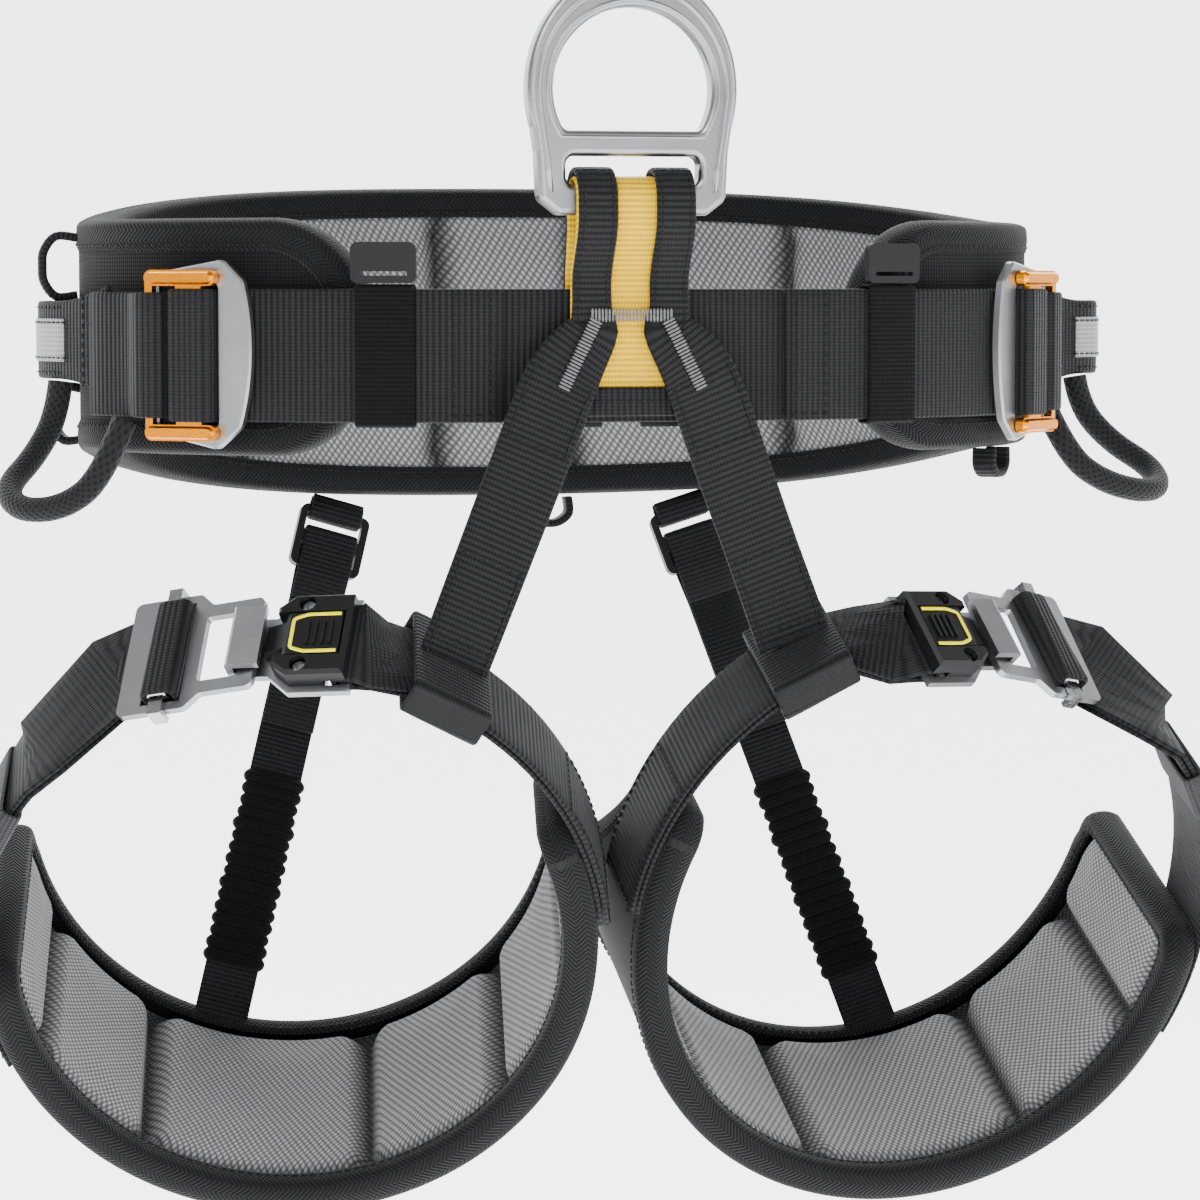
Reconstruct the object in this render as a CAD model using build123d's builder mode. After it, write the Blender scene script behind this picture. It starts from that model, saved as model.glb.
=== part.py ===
from build123d import *
from math import cos, sin, radians, tan
import os

# Tree climbing saddle: a padded waist belt, a front ring on a webbing bridge, and two padded leg loops
# that hang from the bridge in front and from two risers behind. Millimetres, +Z up, the wearer faces -Y.
# The origin is the middle of the waist opening, halfway up the belt webbing. Left and right are as seen
# from the front, so the left side is at -X.

# ---------------------------------------------------------------- driving dimensions
WAIST_A = 172.0          # half width of the waist pad's outer face
WAIST_B = 105.0          # half depth of the waist pad's outer face
FAR = 600.0              # reach of cutting shapes, past everything
SEWN = 0.2               # gap left between two sewn layers
SEAT = 0.3               # gap left between a piece and what carries it

SHELL_T = 2.5            # outer fabric with its foam backing
FOAM_T = 9.0             # lining foam of the waist pad
WEB_T = 1.8              # thickness of load webbing
BELT_WEB = 45.0          # width of the belt webbing
BINDING_W = 11.0         # how far the edge binding reaches over the pad
BELT_GAP = 2.6           # gap between the pad and the front belt, for the keepers
BINDING_T = 0.3          # how far the binding stands over the faces of the pad

PAD_TOP_SIDE, PAD_TOP_BACK = 46.0, 61.0          # heights of the pad's upper edge
PAD_LOW_SIDE, PAD_LOW_BACK = -34.0, -58.0        # heights of the pad's lower edge
WING_CENTRE_X, WING_R = 119.0, 33.0              # rounded ends of the pad, beside the front opening

BUCKLE_ANGLE = {"left": -141.0, "right": -31.5}  # where each side buckle sits round the waist
BUCKLE_OFF = 7.2                                 # underside of the buckle plate above the pad
PLATE_T = 3.0
TAIL_END = {"left": -104.5, "right": -72.5}      # where each tail of the belt ends
KEEPER_ANGLE = {"left": -117.6, "right": -58.0}  # middle of each elastic keeper
KEEPER_W = 20.0
# each side tab: angle round the waist and distance off the pad
TAB_LINE = {"left": [(-160, 4.8), (-168, 6.5), (-180, 12), (-188, 12), (-200, 6.0), (-210, 1.9),
                     (-217, 1.7)],
            "right": [(-12, 5.5), (-6, 15), (-1, 29), (4, 30.5), (15, 14.5), (27, 1.9), (34, 1.7)]}
TAB_H = 27.0

FRONT_X = -2.0           # the ring and its bridge hang a little to one side
RING_Y = -113.0          # plane of the front ring
BAR_Z = 51.5             # middle of the ring's lower bar
BAR_R = 5.0              # half height of that bar
RING_IN_R = 26.9         # inner radius of the ring's arch
RING_OUT_R, RING_TOP = 35.8, 40.0
RING_T = 9.0
ARCH_UP = 36.6           # arch centre above the lower bar
RING_FLAT = 13.6         # flat of the D below the arch centre
SLOT_HALF = 22.7         # half length of the webbing slot
FRAME_HALF = 31.9        # half width of the ring's lower frame
SLOT_TOP = 14.5          # top of the slot above the lower bar
BRIDGE_W = 40.0          # width of the webbing bridge
BRIDGE_SPLIT = 6.5       # half width of the bare stripe of backing between the two front straps
BACKING_T = 1.6
BRIDGE_LOW = -18.0       # lower hem of the backing
STRAP_W = 28.0           # width of a front strap where it is open
STRAP_T = 2.6

LEG_WEB = 38.0           # width of the leg webbing
LEG_WEB_T = 1.8
LEG_FOAM_T = 8.0
LEG_R = 103.0            # half width of a leg loop, outer face of its pad
LEG_RISE = {"left": 1.07, "right": 1.08}         # height of a loop over its width
LEG_C = {"left": (-114.0, -91.0, -202.5), "right": (110.0, -90.0, -202.5)}
LEG_TILT = {"left": 27.4, "right": 22.5}         # front of the loop tips down
LEG_SPLAY = {"left": 10.0, "right": 0.0}
LEG_PAD_W = {"left": 98.0, "right": 101.0}
PAD_FROM, PAD_TO = 62.0, 268.0                   # stretch of the loop that is padded, from the top, inward
WRAP_AT, WRAP_HALF = 29.0, 8.0                   # where the front strap wraps the leg webbing
OUTWARD = {"left": -1.0, "right": 1.0}
SIDES = ("left", "right")

LATCH_AT = {"left": (-109.5, -128.0, -95.0), "right": (103.0, -116.0, -98.0)}
LATCH_RUN = {"left": (-0.89, 0.45, -0.05), "right": (0.90, 0.43, -0.05)}     # from the latch to the frame
FRAME_RUN = {"left": (-0.81, 0.555, -0.17), "right": (0.87, 0.455, -0.18)}
ACROSS = {"left": (-0.26, -0.58, -0.77), "right": (0.26, -0.58, -0.77)}
BASE_T = 2.5             # steel of the latch base
FRAME_T = 2.5            # steel of the strap frame
JAW_GAP = 5.3            # opening of the hook, for the frame's end bar
HOOK_X = -22.0           # middle of the frame's end bar, from the latch centre
HOOK_HALF = 11.4
BASE_HALF = 18.0
HOUSING_HALF = 15.5
HOUSING_TOP = 10.4
LEVER_HALF = 8.0
PIN_R = 1.5
PIN_X, PIN_Z = -7.2, 6.4
PIN_HALF = 12.6
RUN_GAP = 0.05           # running clearance of a pin in its bore
SCREW_X, SCREW_Y, SCREW_R = -3.2, 11.8, 2.2
SLIDER_X = -30.1         # middle of the slider bar, from the end bar of the frame
SLIDER_HALF, SLIDER_T = 3.5, 2.7
SLIDER_PLAY = 1.4        # how far the slider can shift towards the hook
FRAME_SLOT = (-37.1, -22.6)
FRAME_LEN = 45.6
FRAME_WIDE, FRAME_NARROW = 22.5, 17.5

LOCK_AT = {"left": (-69.0, 88.0, -73.0), "right": (72.0, 88.0, -73.0)}
LOCK_W, LOCK_H, LOCK_T = 27.0, 24.0, 4.0
ANCHOR_TOP = -58.3       # where the webbing of the ladder locks leaves the waist pad
RISER_W, RISER_T = 20.0, 1.6
RISER_PHI = {"left": -163.0, "right": -168.0}    # where the riser meets the leg pad
ELASTIC_FROM, ELASTIC_TO = 0.50, 0.90            # stretch of the riser that is ruched elastic
INNER_MID = 2.9          # middle of the doubled inner leg webbing, off the pad
WRAP_IN, WRAP_OUT = 0.2, 5.6     # faces of the doubled webbing inside its sleeve
CORD_R = 4.3             # gear loop cord

os.makedirs("parts", exist_ok=True)


def save(name, part):
    part.label = name
    export_step(part, "parts/" + name + ".step")


# ---------------------------------------------------------------- the waist ellipse
def waist_point(angle, off, z=0.0):
    """A point on the waist ellipse, off outside the pad's outer face."""
    a = radians(angle)
    return Vector((WAIST_A + off) * cos(a), (WAIST_B + off) * sin(a), z)


def waist_normal(angle):
    a = radians(angle)
    return Vector(cos(a) * WAIST_B, sin(a) * WAIST_A, 0).normalized()


def waist_plane(angle, off, z=0.0):
    """A plane on the belt's surface: x to the wearer's left, y up, z outwards."""
    n = waist_normal(angle)
    return Plane(waist_point(angle, off, z), x_dir=Vector(0, 0, 1).cross(n), z_dir=n)


def waist_section(angle, off, z=0.0):
    """The plane across the belt at an angle: x along the belt, y outwards."""
    flat = waist_plane(angle, off, z)
    return Plane(flat.origin, x_dir=flat.x_dir, z_dir=flat.x_dir.cross(flat.z_dir))


def wedge_points(start, end):
    steps = max(1, int((end - start) / 50) + 1)
    rim = [start + (end - start) * i / steps for i in range(steps + 1)]
    return [(0, 0)] + [(FAR * cos(radians(a)), FAR * sin(radians(a))) for a in rim]


def waist_band(inner, outer, low, high, start=None, end=None):
    """A band between two offsets of the waist ellipse, whole or between two angles."""
    with BuildPart() as band:
        with BuildSketch(Plane.XY.offset(low)):
            Ellipse(WAIST_A + outer, WAIST_B + outer)
            Ellipse(WAIST_A + inner, WAIST_B + inner, mode=Mode.SUBTRACT)
            if start is not None:
                with BuildLine():
                    Polyline(*wedge_points(start, end), close=True)
                make_face(mode=Mode.INTERSECT)
        extrude(amount=high - low)
    return band.part


# ---------------------------------------------------------------- waist pad
def waist_pad(inner, outer, inset):
    """The pad's outline, higher behind than at the sides, cut from a band, smaller all round by inset."""
    top, back_top = PAD_TOP_SIDE - inset, PAD_TOP_BACK - inset
    low, back_low = PAD_LOW_SIDE + inset, PAD_LOW_BACK + inset
    wing_mid = (PAD_TOP_SIDE + PAD_LOW_SIDE) / 2
    wing_half = (PAD_TOP_SIDE - PAD_LOW_SIDE) / 2
    with BuildPart() as pad:
        with BuildSketch(Plane.XY.offset(-WAIST_B)):
            Ellipse(WAIST_A + outer, WAIST_B + outer)
            Ellipse(WAIST_A + inner, WAIST_B + inner, mode=Mode.SUBTRACT)
        extrude(amount=2 * WAIST_B)
        with BuildSketch(Plane.YZ):
            with BuildLine():
                front, side, back = -WAIST_B - 40, -10.0, WAIST_B + 20
                Line((front, low), (front, top))
                Line((front, top), (side, top))
                Spline((side, top), (back, back_top), tangents=((1, 0), (1, 0)))
                Line((back, back_top), (back, back_low))
                Spline((back, back_low), (side, low), tangents=((-1, 0), (-1, 0)))
                Line((side, low), (front, low))
            make_face()
        extrude(amount=FAR, both=True, mode=Mode.INTERSECT)
        with BuildSketch(Plane.XZ):
            Rectangle(2 * WING_CENTRE_X, 2 * FAR)
            with Locations((-WING_CENTRE_X, wing_mid), (WING_CENTRE_X, wing_mid)):
                Ellipse(WING_R - inset, wing_half - inset, mode=Mode.SUBTRACT)
        extrude(amount=FAR, mode=Mode.SUBTRACT)
    return pad.part


foam_out = -SHELL_T - 2 * SEWN - WEB_T
foam_in = foam_out - FOAM_T
edge_in = foam_in - BINDING_T
# the outer cloth is three panels, with a seam at either side of the waist
with BuildPart() as waist_shell:
    add(waist_pad(-SHELL_T, -0.1, BINDING_W + SEWN))
    Box(3 * WAIST_A, 2 * SEWN, 3 * WAIST_A, mode=Mode.SUBTRACT)
save("waist_shell", waist_shell.part)
save("waist_foam", waist_pad(foam_in, foam_out, BINDING_W + SEWN))
with BuildPart() as waist_binding:
    add(waist_pad(edge_in, BINDING_T, 0.0))
    add(waist_pad(edge_in - 1, BINDING_T + 1, BINDING_W), mode=Mode.SUBTRACT)
save("waist_binding", waist_binding.part)
save("back_webbing", waist_band(foam_out + SEWN, -SHELL_T - SEWN, -BELT_WEB / 2, BELT_WEB / 2, -22, 202))


# ---------------------------------------------------------------- side buckles
PLATE_LEFT, PLATE_BAR, PLATE_RIGHT = -20.0, 7.3, 20.0     # ends of the plate and its plain bar
PLATE_WIN = -15.0
MIRROR = {"left": 1.0, "right": -1.0}                     # the right buckle is the left one turned round


def buckle_sketch_plane(side, height):
    base = waist_plane(BUCKLE_ANGLE[side], BUCKLE_OFF)
    return base.offset(height)


def buckle_section_plane(side):
    return waist_section(BUCKLE_ANGLE[side], BUCKLE_OFF)


def flipped(side, points):
    """Points of the left hand pattern, mirrored for the right hand one."""
    return [(MIRROR[side] * x, y) for x, y in points]


def buckle_plate(side):
    win_half = BELT_WEB / 2 + 1.5
    outline = flipped(side, [(PLATE_LEFT, -25.5), (PLATE_LEFT, 27), (9.5, 32), (17, 25)])
    rim = flipped(side, [(17, 25), (PLATE_RIGHT, 0), (16, -24)])
    lower = flipped(side, [(16, -24), (7, -31.5), (PLATE_LEFT, -25.5)])
    window = flipped(side, [((PLATE_WIN + PLATE_BAR) / 2, 0)])
    with BuildPart() as plate:
        with BuildSketch(buckle_sketch_plane(side, 0.0)) as buckle:
            with BuildLine():
                Polyline(*outline)
                ThreePointArc(*rim)
                Polyline(*lower)
            make_face()
            fillet(buckle.vertices(), 3.5)
            with Locations(*window):
                RectangleRounded(PLATE_BAR - PLATE_WIN, 2 * win_half, 2.0, mode=Mode.SUBTRACT)
        extrude(amount=PLATE_T)
        front_face = plate.faces().filter_by(Axis((0, 0, 0), waist_normal(BUCKLE_ANGLE[side]))).sort_by(
            lambda f: buckle_sketch_plane(side, 0.0).to_local_coords(f.center()).Z)[-1]
        chamfer(front_face.edges(), 0.7)
    return plate.part


RAIL_Z = PLATE_T + SEAT
RAIL_H = 4.4


def buckle_slide(side):
    """The second frame of the buckle, which lies on the plate and which the belt folds round."""
    rail_y = BELT_WEB / 2 + 3.4
    rails = flipped(side, [(-5.2, rail_y), (-5.2, -rail_y)])
    bar = flipped(side, [(-1.9, 0)])
    post = flipped(side, [(-17.0, 0)])
    with BuildPart() as slide:
        with BuildSketch(buckle_sketch_plane(side, RAIL_Z)):
            with Locations(*rails):
                SlotOverall(27.0, 5.4)
            with Locations(*bar):
                Rectangle(9.6, 2 * rail_y)
            with Locations(*post):
                Rectangle(2.8, 2 * rail_y)
        extrude(amount=2.8)
        with BuildSketch(buckle_sketch_plane(side, RAIL_Z + 2.8)):
            with Locations(*rails):
                SlotOverall(26.0, 4.6)
        extrude(amount=RAIL_H - 2.8, taper=25)
    return slide.part


for side in SIDES:
    save("buckle_plate_" + side, buckle_plate(side))
    save("buckle_slide_" + side, buckle_slide(side))


# ---------------------------------------------------------------- front belt
def strip(plane, points, thickness, width, centre=0.0):
    """Webbing that follows a line drawn in a section plane."""
    with BuildPart() as web:
        with BuildSketch(plane.offset(centre)):
            with BuildLine():
                Polyline(*points)
            trace(line_width=thickness)
        extrude(amount=width / 2, both=True)
    return web.part


base_in, base_out = BELT_GAP, BELT_GAP + WEB_T
FOLD_END = 4.7           # degrees from a buckle's middle to the end of the belt's fold
tail_in, tail_out = base_out + SEWN, base_out + SEWN + WEB_T
fold_mid = RAIL_Z + 2.8 + SEAT + WEB_T / 2
fold = [(10.5, -1.7), (7.4, -1.4), (5.4, 0.4), (5.4, fold_mid - 0.9), (4.2, fold_mid), (-7.2, fold_mid),
        (-9.0, 6.0), (-9.0, 3.6), (-7.4, 2.0), (-4.0, 1.2), (-0.5, -3.3), (10.5, -3.9)]
save("front_belt", waist_band(base_in, base_out, -BELT_WEB / 2, BELT_WEB / 2,
                              BUCKLE_ANGLE["left"] + FOLD_END, BUCKLE_ANGLE["right"] - FOLD_END))
with BuildPart() as belt_tails:
    add(waist_band(tail_in, tail_out, -BELT_WEB / 2, BELT_WEB / 2,
                   BUCKLE_ANGLE["left"] + FOLD_END, TAIL_END["left"]))
    add(waist_band(tail_in, tail_out, -BELT_WEB / 2, BELT_WEB / 2,
                   TAIL_END["right"], BUCKLE_ANGLE["right"] - FOLD_END))
save("belt_tails", belt_tails.part)
with BuildPart() as belt_folds:
    for side in SIDES:
        add(strip(buckle_section_plane(side), flipped(side, fold), WEB_T, BELT_WEB - 1))
save("belt_folds", belt_folds.part)

# the side straps loop the outer bar of each buckle and run back under the side tabs
hook_mid = RAIL_Z + 2.8 + SEAT + WEB_T / 2
over_tab = {"left": [(-49, -10.9), (-42.2, -8.0)], "right": [(-49, -7.2), (-41, -7.8)]}
anchor = [(-34, -5.6), (-29, -3.4), (-24.5, 3.6), (-20.6, hook_mid - 0.4), (-13.6, hook_mid),
          (-11.6, 5.6), (-11.6, 1.4), (-13.6, -1.3), (-21, -1.6), (-26, -3.2)]
with BuildPart() as side_straps:
    for side in SIDES:
        add(strip(buckle_section_plane(side), flipped(side, over_tab[side] + anchor), WEB_T, BELT_WEB - 3))
save("side_straps", side_straps.part)


# ---------------------------------------------------------------- side tabs, with their reflective bands
TAB_Z = 4.5
TAB_T = 2.4
BAND_T = 0.6


def tab_points(side):
    """The tab leaves the pad beside the buckle, stands off it at the side and comes back behind."""
    return [waist_point(a, o) for a, o in TAB_LINE[side]]


def beside(points, distance):
    """A line beside another, at a distance away from the waist's middle."""
    moved = []
    for i, at in enumerate(points):
        back = (at - points[max(i - 1, 0)]) if i else points[1] - at
        ahead = points[i + 1] - at if i + 1 < len(points) else back
        n1, n2 = Vector(-back.Y, back.X).normalized(), Vector(-ahead.Y, ahead.X).normalized()
        mitre = (n1 + n2).normalized()
        if mitre.dot(at) < 0:
            mitre = mitre * -1
        moved.append(at + mitre * (distance / abs(mitre.dot(n1))))
    return moved


def tab_band(points, thickness, height):
    with BuildPart() as web:
        with BuildSketch(Plane.XY.offset(TAB_Z - height / 2)):
            with BuildLine():
                Polyline(*[(p.X, p.Y) for p in points])
            trace(line_width=thickness)
        extrude(amount=height)
    return web.part


with BuildPart() as side_tabs:
    for side in SIDES:
        add(tab_band(tab_points(side), TAB_T, TAB_H))
save("side_tabs", side_tabs.part)
with BuildPart() as reflective_bands:
    for side in SIDES:
        outer = beside(tab_points(side), TAB_T / 2 + SEWN + BAND_T / 2)
        start = outer[1] + (outer[2] - outer[1]) * 0.4
        add(tab_band([start, outer[2], outer[3]], BAND_T, TAB_H * 0.55))
save("reflective_bands", reflective_bands.part)

# ---------------------------------------------------------------- elastic keepers and their hooks
KEEPER_T = 1.0
KEEPER_EASE = 0.7        # room inside a keeper, for the belt's curve


def keeper(side):
    """Elastic band round the belt and its tail."""
    half = BELT_WEB / 2 + SEAT
    reach = (tail_out - base_in) / 2 + KEEPER_EASE
    plane = waist_plane(KEEPER_ANGLE[side], (base_in + tail_out) / 2)
    with BuildPart() as band:
        with BuildSketch(plane.offset(-reach - KEEPER_T)):
            Rectangle(KEEPER_W, 2 * half + 2 * KEEPER_T)
        extrude(amount=2 * reach + 2 * KEEPER_T)
        with BuildSketch(plane.offset(-reach)):
            Rectangle(2 * KEEPER_W, 2 * half)
        extrude(amount=2 * reach, mode=Mode.SUBTRACT)
    return band.part


with BuildPart() as belt_keepers:
    for side in SIDES:
        add(keeper(side))
save("belt_keepers", belt_keepers.part)

HOOK_W = 22.0            # moulded hook on top of each keeper, which clips over the belt
with BuildPart() as keeper_hooks:
    for side in SIDES:
        flat = waist_plane(KEEPER_ANGLE[side], tail_out)
        low = BELT_WEB / 2 + SEAT + KEEPER_T + SEAT
        with BuildSketch(flat.offset(-0.6)):
            with Locations((0, low + 6.8)):
                RectangleRounded(HOOK_W, 13.6, 2.5)
            with Locations((0, low + 3.2)):
                Rectangle(HOOK_W * 0.72, 1.4, mode=Mode.SUBTRACT)
        extrude(amount=2.4)
        with BuildSketch(flat.offset(-2.6)):
            with Locations((0, low + 11.6)):
                Rectangle(HOOK_W - 5, 2.2)
        extrude(amount=2.0)
save("keeper_hooks", keeper_hooks.part)

# ---------------------------------------------------------------- accessory loops of thin webbing
def small_loop(plane, reach, length, web):
    """A flat loop that stands out of the pad: two legs and a round nose."""
    half = length / 2
    with BuildPart() as loop:
        with BuildSketch(plane):
            with BuildLine():
                Polyline((-half, 0), (-half * 1.05, reach * 0.6), (-half * 0.55, reach * 0.95), (0, reach),
                         (half * 0.55, reach * 0.95), (half * 1.05, reach * 0.6), (half, 0))
            trace(line_width=1.2)
        extrude(amount=web / 2, both=True)
    return loop.part


def side_loop_plane(angle, off, z):
    """Loop plane upright along the belt: x down the belt's height, y outwards."""
    n = waist_normal(angle)
    return Plane(waist_point(angle, off, z), x_dir=(0, 0, -1), z_dir=Vector(0, 0, -1).cross(n))


with BuildPart() as accessory_loops:
    add(small_loop(side_loop_plane(178, SEAT + BINDING_T, 30), 12.0, 20.0, 9.0))
    add(small_loop(side_loop_plane(169, SEAT + BINDING_T, -22), 10.0, 18.0, 9.0))
    down = waist_normal(-27)
    add(small_loop(Plane(waist_point(-27, -6.0, PAD_LOW_SIDE - 0.5), x_dir=Vector(0, 0, 1).cross(down),
                         z_dir=down), -9.0, 13.0, 9.0))
    rear = waist_normal(84)
    add(small_loop(Plane(waist_point(84, -6.0, PAD_LOW_BACK + 0.4), x_dir=Vector(0, 0, 1).cross(rear),
                         z_dir=rear), -10.0, 16.0, 10.0))
save("accessory_loops", accessory_loops.part)


# ---------------------------------------------------------------- front ring
with BuildPart() as ring:
    with BuildSketch(Plane.XZ.offset(-RING_Y - RING_T / 2)):
        with Locations((FRONT_X, BAR_Z + ARCH_UP)):
            Ellipse(RING_OUT_R, RING_TOP)
        with BuildLine():
            Polyline((FRONT_X - RING_OUT_R, BAR_Z + ARCH_UP), (FRONT_X - FRAME_HALF - 0.9, BAR_Z + 16),
                     (FRONT_X - FRAME_HALF, BAR_Z), (FRONT_X - FRAME_HALF + 6.5, BAR_Z - BAR_R),
                     (FRONT_X + FRAME_HALF - 6.5, BAR_Z - BAR_R), (FRONT_X + FRAME_HALF, BAR_Z),
                     (FRONT_X + FRAME_HALF + 0.9, BAR_Z + 16), (FRONT_X + RING_OUT_R, BAR_Z + ARCH_UP),
                     close=True)
        make_face()
        with BuildLine():
            flat_z = BAR_Z + ARCH_UP - RING_FLAT
            half = (RING_IN_R ** 2 - RING_FLAT ** 2) ** 0.5
            Line((FRONT_X - half, flat_z), (FRONT_X + half, flat_z))
            ThreePointArc((FRONT_X + half, flat_z), (FRONT_X, BAR_Z + ARCH_UP + RING_IN_R),
                          (FRONT_X - half, flat_z))
        make_face(mode=Mode.SUBTRACT)
        with Locations((FRONT_X, BAR_Z + (SLOT_TOP + BAR_R) / 2)):
            RectangleRounded(2 * SLOT_HALF, SLOT_TOP - BAR_R, 3.0, mode=Mode.SUBTRACT)
    extrude(amount=RING_T)
    fillet(ring.edges().filter_by(Axis.Y), 3.0)
    rims = ring.faces().filter_by(Axis.Y).edges()
    fillet(rims, 2.2)
save("ventral_ring", ring.part)


# ---------------------------------------------------------------- bridge: backing and the two front straps
LOOP_IN = BAR_R + 1.3                       # inner radius of the webbing loop round the ring's bar
BRIDGE_FRONT = -WAIST_B - base_out - 0.6    # face of the belt that the bridge lies on
BRIDGE_BACK = -WAIST_B + 1.0
BRIDGE_BACK_LOW = -24.0


def bridge_section(x):
    """Side view of the bridge: x forwards is -Y."""
    return Plane((x, 0, 0), x_dir=(0, -1, 0), z_dir=(-1, 0, 0))


def bridge_strip(x, radius, front, back, low_front, low_back, thickness, width):
    """Webbing up in front of the belt, round the ring's bar and down behind the belt."""
    bar = -RING_Y
    with BuildPart() as web:
        with BuildSketch(bridge_section(x)):
            with BuildLine():
                Polyline((front, low_front), (front, 27), (bar + radius, BAR_Z - 6), (bar + radius, BAR_Z))
                ThreePointArc((bar + radius, BAR_Z), (bar, BAR_Z + radius), (bar - radius, BAR_Z))
                Polyline((bar - radius, BAR_Z), (bar - radius, BAR_Z - 6), (back, 27), (back, low_back))
            trace(line_width=thickness)
        extrude(amount=width / 2, both=True)
    return web.part


backing_r = LOOP_IN + BACKING_T / 2
BRIDGE_SEAM = 0.5        # gap between the backing and the straps sewn on it
strap_r = LOOP_IN + BACKING_T + BRIDGE_SEAM + STRAP_T / 2
front_face = -BRIDGE_FRONT + BACKING_T / 2
save("ventral_backing", bridge_strip(FRONT_X, backing_r, front_face, -BRIDGE_BACK - BACKING_T / 2,
                                     BRIDGE_LOW, BRIDGE_BACK_LOW, BACKING_T, BRIDGE_W))


# ---------------------------------------------------------------- leg loop frames
def leg_plane(side, along=0.0):
    """The plane of a leg loop: x across, y up the loop, z along the thigh towards the wearer's knee."""
    tilt, splay, out = radians(LEG_TILT[side]), radians(LEG_SPLAY[side]), OUTWARD[side]
    axis = Vector(out * sin(splay) * cos(tilt), -cos(splay) * cos(tilt), -sin(tilt))
    across = Vector(cos(splay), out * sin(splay), 0)
    return Plane(LEG_C[side], x_dir=across, z_dir=axis).offset(along)


def leg_point(side, phi, radial, along):
    """A point on a leg loop: phi from its top towards the inside of the thigh."""
    a = radians(phi)
    x = -OUTWARD[side] * (LEG_R + radial) * sin(a)
    y = LEG_RISE[side] * (LEG_R + radial) * cos(a)
    return leg_plane(side, along).from_local_coords(Vector(x, y, 0))


def leg_band(side, inner, outer, near, far, start, end):
    """A band round a leg loop between two angles, from the top towards the inside of the thigh."""
    out = OUTWARD[side]
    turn = [90 + out * start, 90 + out * end]
    low, high = min(turn), max(turn)
    rise = LEG_RISE[side]
    with BuildPart() as band:
        with BuildSketch(leg_plane(side, far)):
            Ellipse(LEG_R + outer, (LEG_R + outer) * rise)
            Ellipse(LEG_R + inner, (LEG_R + inner) * rise, mode=Mode.SUBTRACT)
            with BuildLine():
                Polyline(*wedge_points(low, high), close=True)
            make_face(mode=Mode.INTERSECT)
        extrude(amount=near - far)
    return band.part


def leg_side_plane(side):
    """Side view of a leg loop: x along the thigh, y up the loop."""
    base = leg_plane(side)
    return Plane(base.origin, x_dir=base.z_dir, z_dir=base.z_dir.cross(base.y_dir))


def leg_pad(side, inner, outer, inset):
    """The leg pad: full width below, narrowing to the webbing at both ends."""
    wide, narrow = LEG_PAD_W[side] - inset, LEG_WEB + 12 - inset
    ends = inset / LEG_R * 57.3
    with BuildPart() as pad:
        add(leg_band(side, inner, outer, -inset, -wide, PAD_FROM + ends, PAD_TO - ends))
        with BuildSketch(leg_side_plane(side)):
            with BuildLine():
                Polyline((10, -FAR), (10, FAR), (-narrow, FAR), (-narrow, LEG_R * 0.40),
                         (-wide, -LEG_R * 0.25), (-wide, -FAR), close=True)
            make_face()
        extrude(amount=FAR, both=True, mode=Mode.INTERSECT)
    return pad.part


# ---------------------------------------------------------------- latches and strap frames
def run_plane(origin, run, across):
    """A buckle's own plane: x from the frame towards the latch, z outwards."""
    x = Vector(*run).normalized() * -1
    n = x.cross(Vector(*across))
    if n.Z < 0:
        n = n * -1
    return Plane(origin, x_dir=x, z_dir=n.normalized())


def latch_plane(side):
    return run_plane(LATCH_AT[side], LATCH_RUN[side], ACROSS[side])


def strap_frame_plane(side):
    at = latch_plane(side).from_local_coords(Vector(HOOK_X, 0, BASE_T + JAW_GAP / 2))
    return run_plane(at, FRAME_RUN[side], ACROSS[side])


def section_of(plane):
    """The plane across a buckle: x along it, y outwards."""
    return Plane(plane.origin, x_dir=plane.x_dir, z_dir=plane.x_dir.cross(plane.z_dir))


def block(plane, x0, x1, y_half, z0, z1, y_mid=0.0):
    with BuildPart() as solid:
        with BuildSketch(plane.offset(z0)):
            with Locations(((x0 + x1) / 2, y_mid)):
                Rectangle(x1 - x0, 2 * y_half)
        extrude(amount=z1 - z0)
    return solid.part


SLOT_X = (4.6, 9.6)            # slot for the inner webbing in the latch base
BASE_END = 12.8
hook_back = HOOK_X - 4.0       # inner face of the hook's bend
hook_top = BASE_T + JAW_GAP


def latch_base(side):
    """Steel plate under the housing, with the strap slot at one end and the hook at the other."""
    at = latch_plane(side)
    with BuildPart() as base:
        with BuildSketch(at):
            with BuildLine():
                Polyline((BASE_END, -BASE_HALF), (-8.0, -BASE_HALF), (-15.5, -HOOK_HALF),
                         (hook_back - BASE_T, -HOOK_HALF), (hook_back - BASE_T, HOOK_HALF),
                         (-15.5, HOOK_HALF), (-8.0, BASE_HALF), (BASE_END, BASE_HALF),
                         close=True)
            make_face()
            with Locations(((SLOT_X[0] + SLOT_X[1]) / 2, 0)):
                Rectangle(SLOT_X[1] - SLOT_X[0], 2 * BASE_HALF - 5, mode=Mode.SUBTRACT)
            with Locations((SCREW_X, SCREW_Y), (SCREW_X, -SCREW_Y)):
                Circle(SCREW_R * 0.6, mode=Mode.SUBTRACT)
        extrude(amount=BASE_T)
        add(block(at, hook_back - BASE_T, hook_back, HOOK_HALF, BASE_T, hook_top))
        add(block(at, hook_back - BASE_T, hook_back + 9.0, HOOK_HALF, hook_top, hook_top + BASE_T))
        fillet(base.edges().filter_by(Axis(at.origin, at.y_dir)).group_by(
            lambda e: round(at.to_local_coords(e.center()).X, 1))[0], 1.9)
    return base.part


CHEEK = LEVER_HALF + 0.5
WEB_POCKET = BASE_T + SEAT + LEG_WEB_T + SEAT


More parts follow.
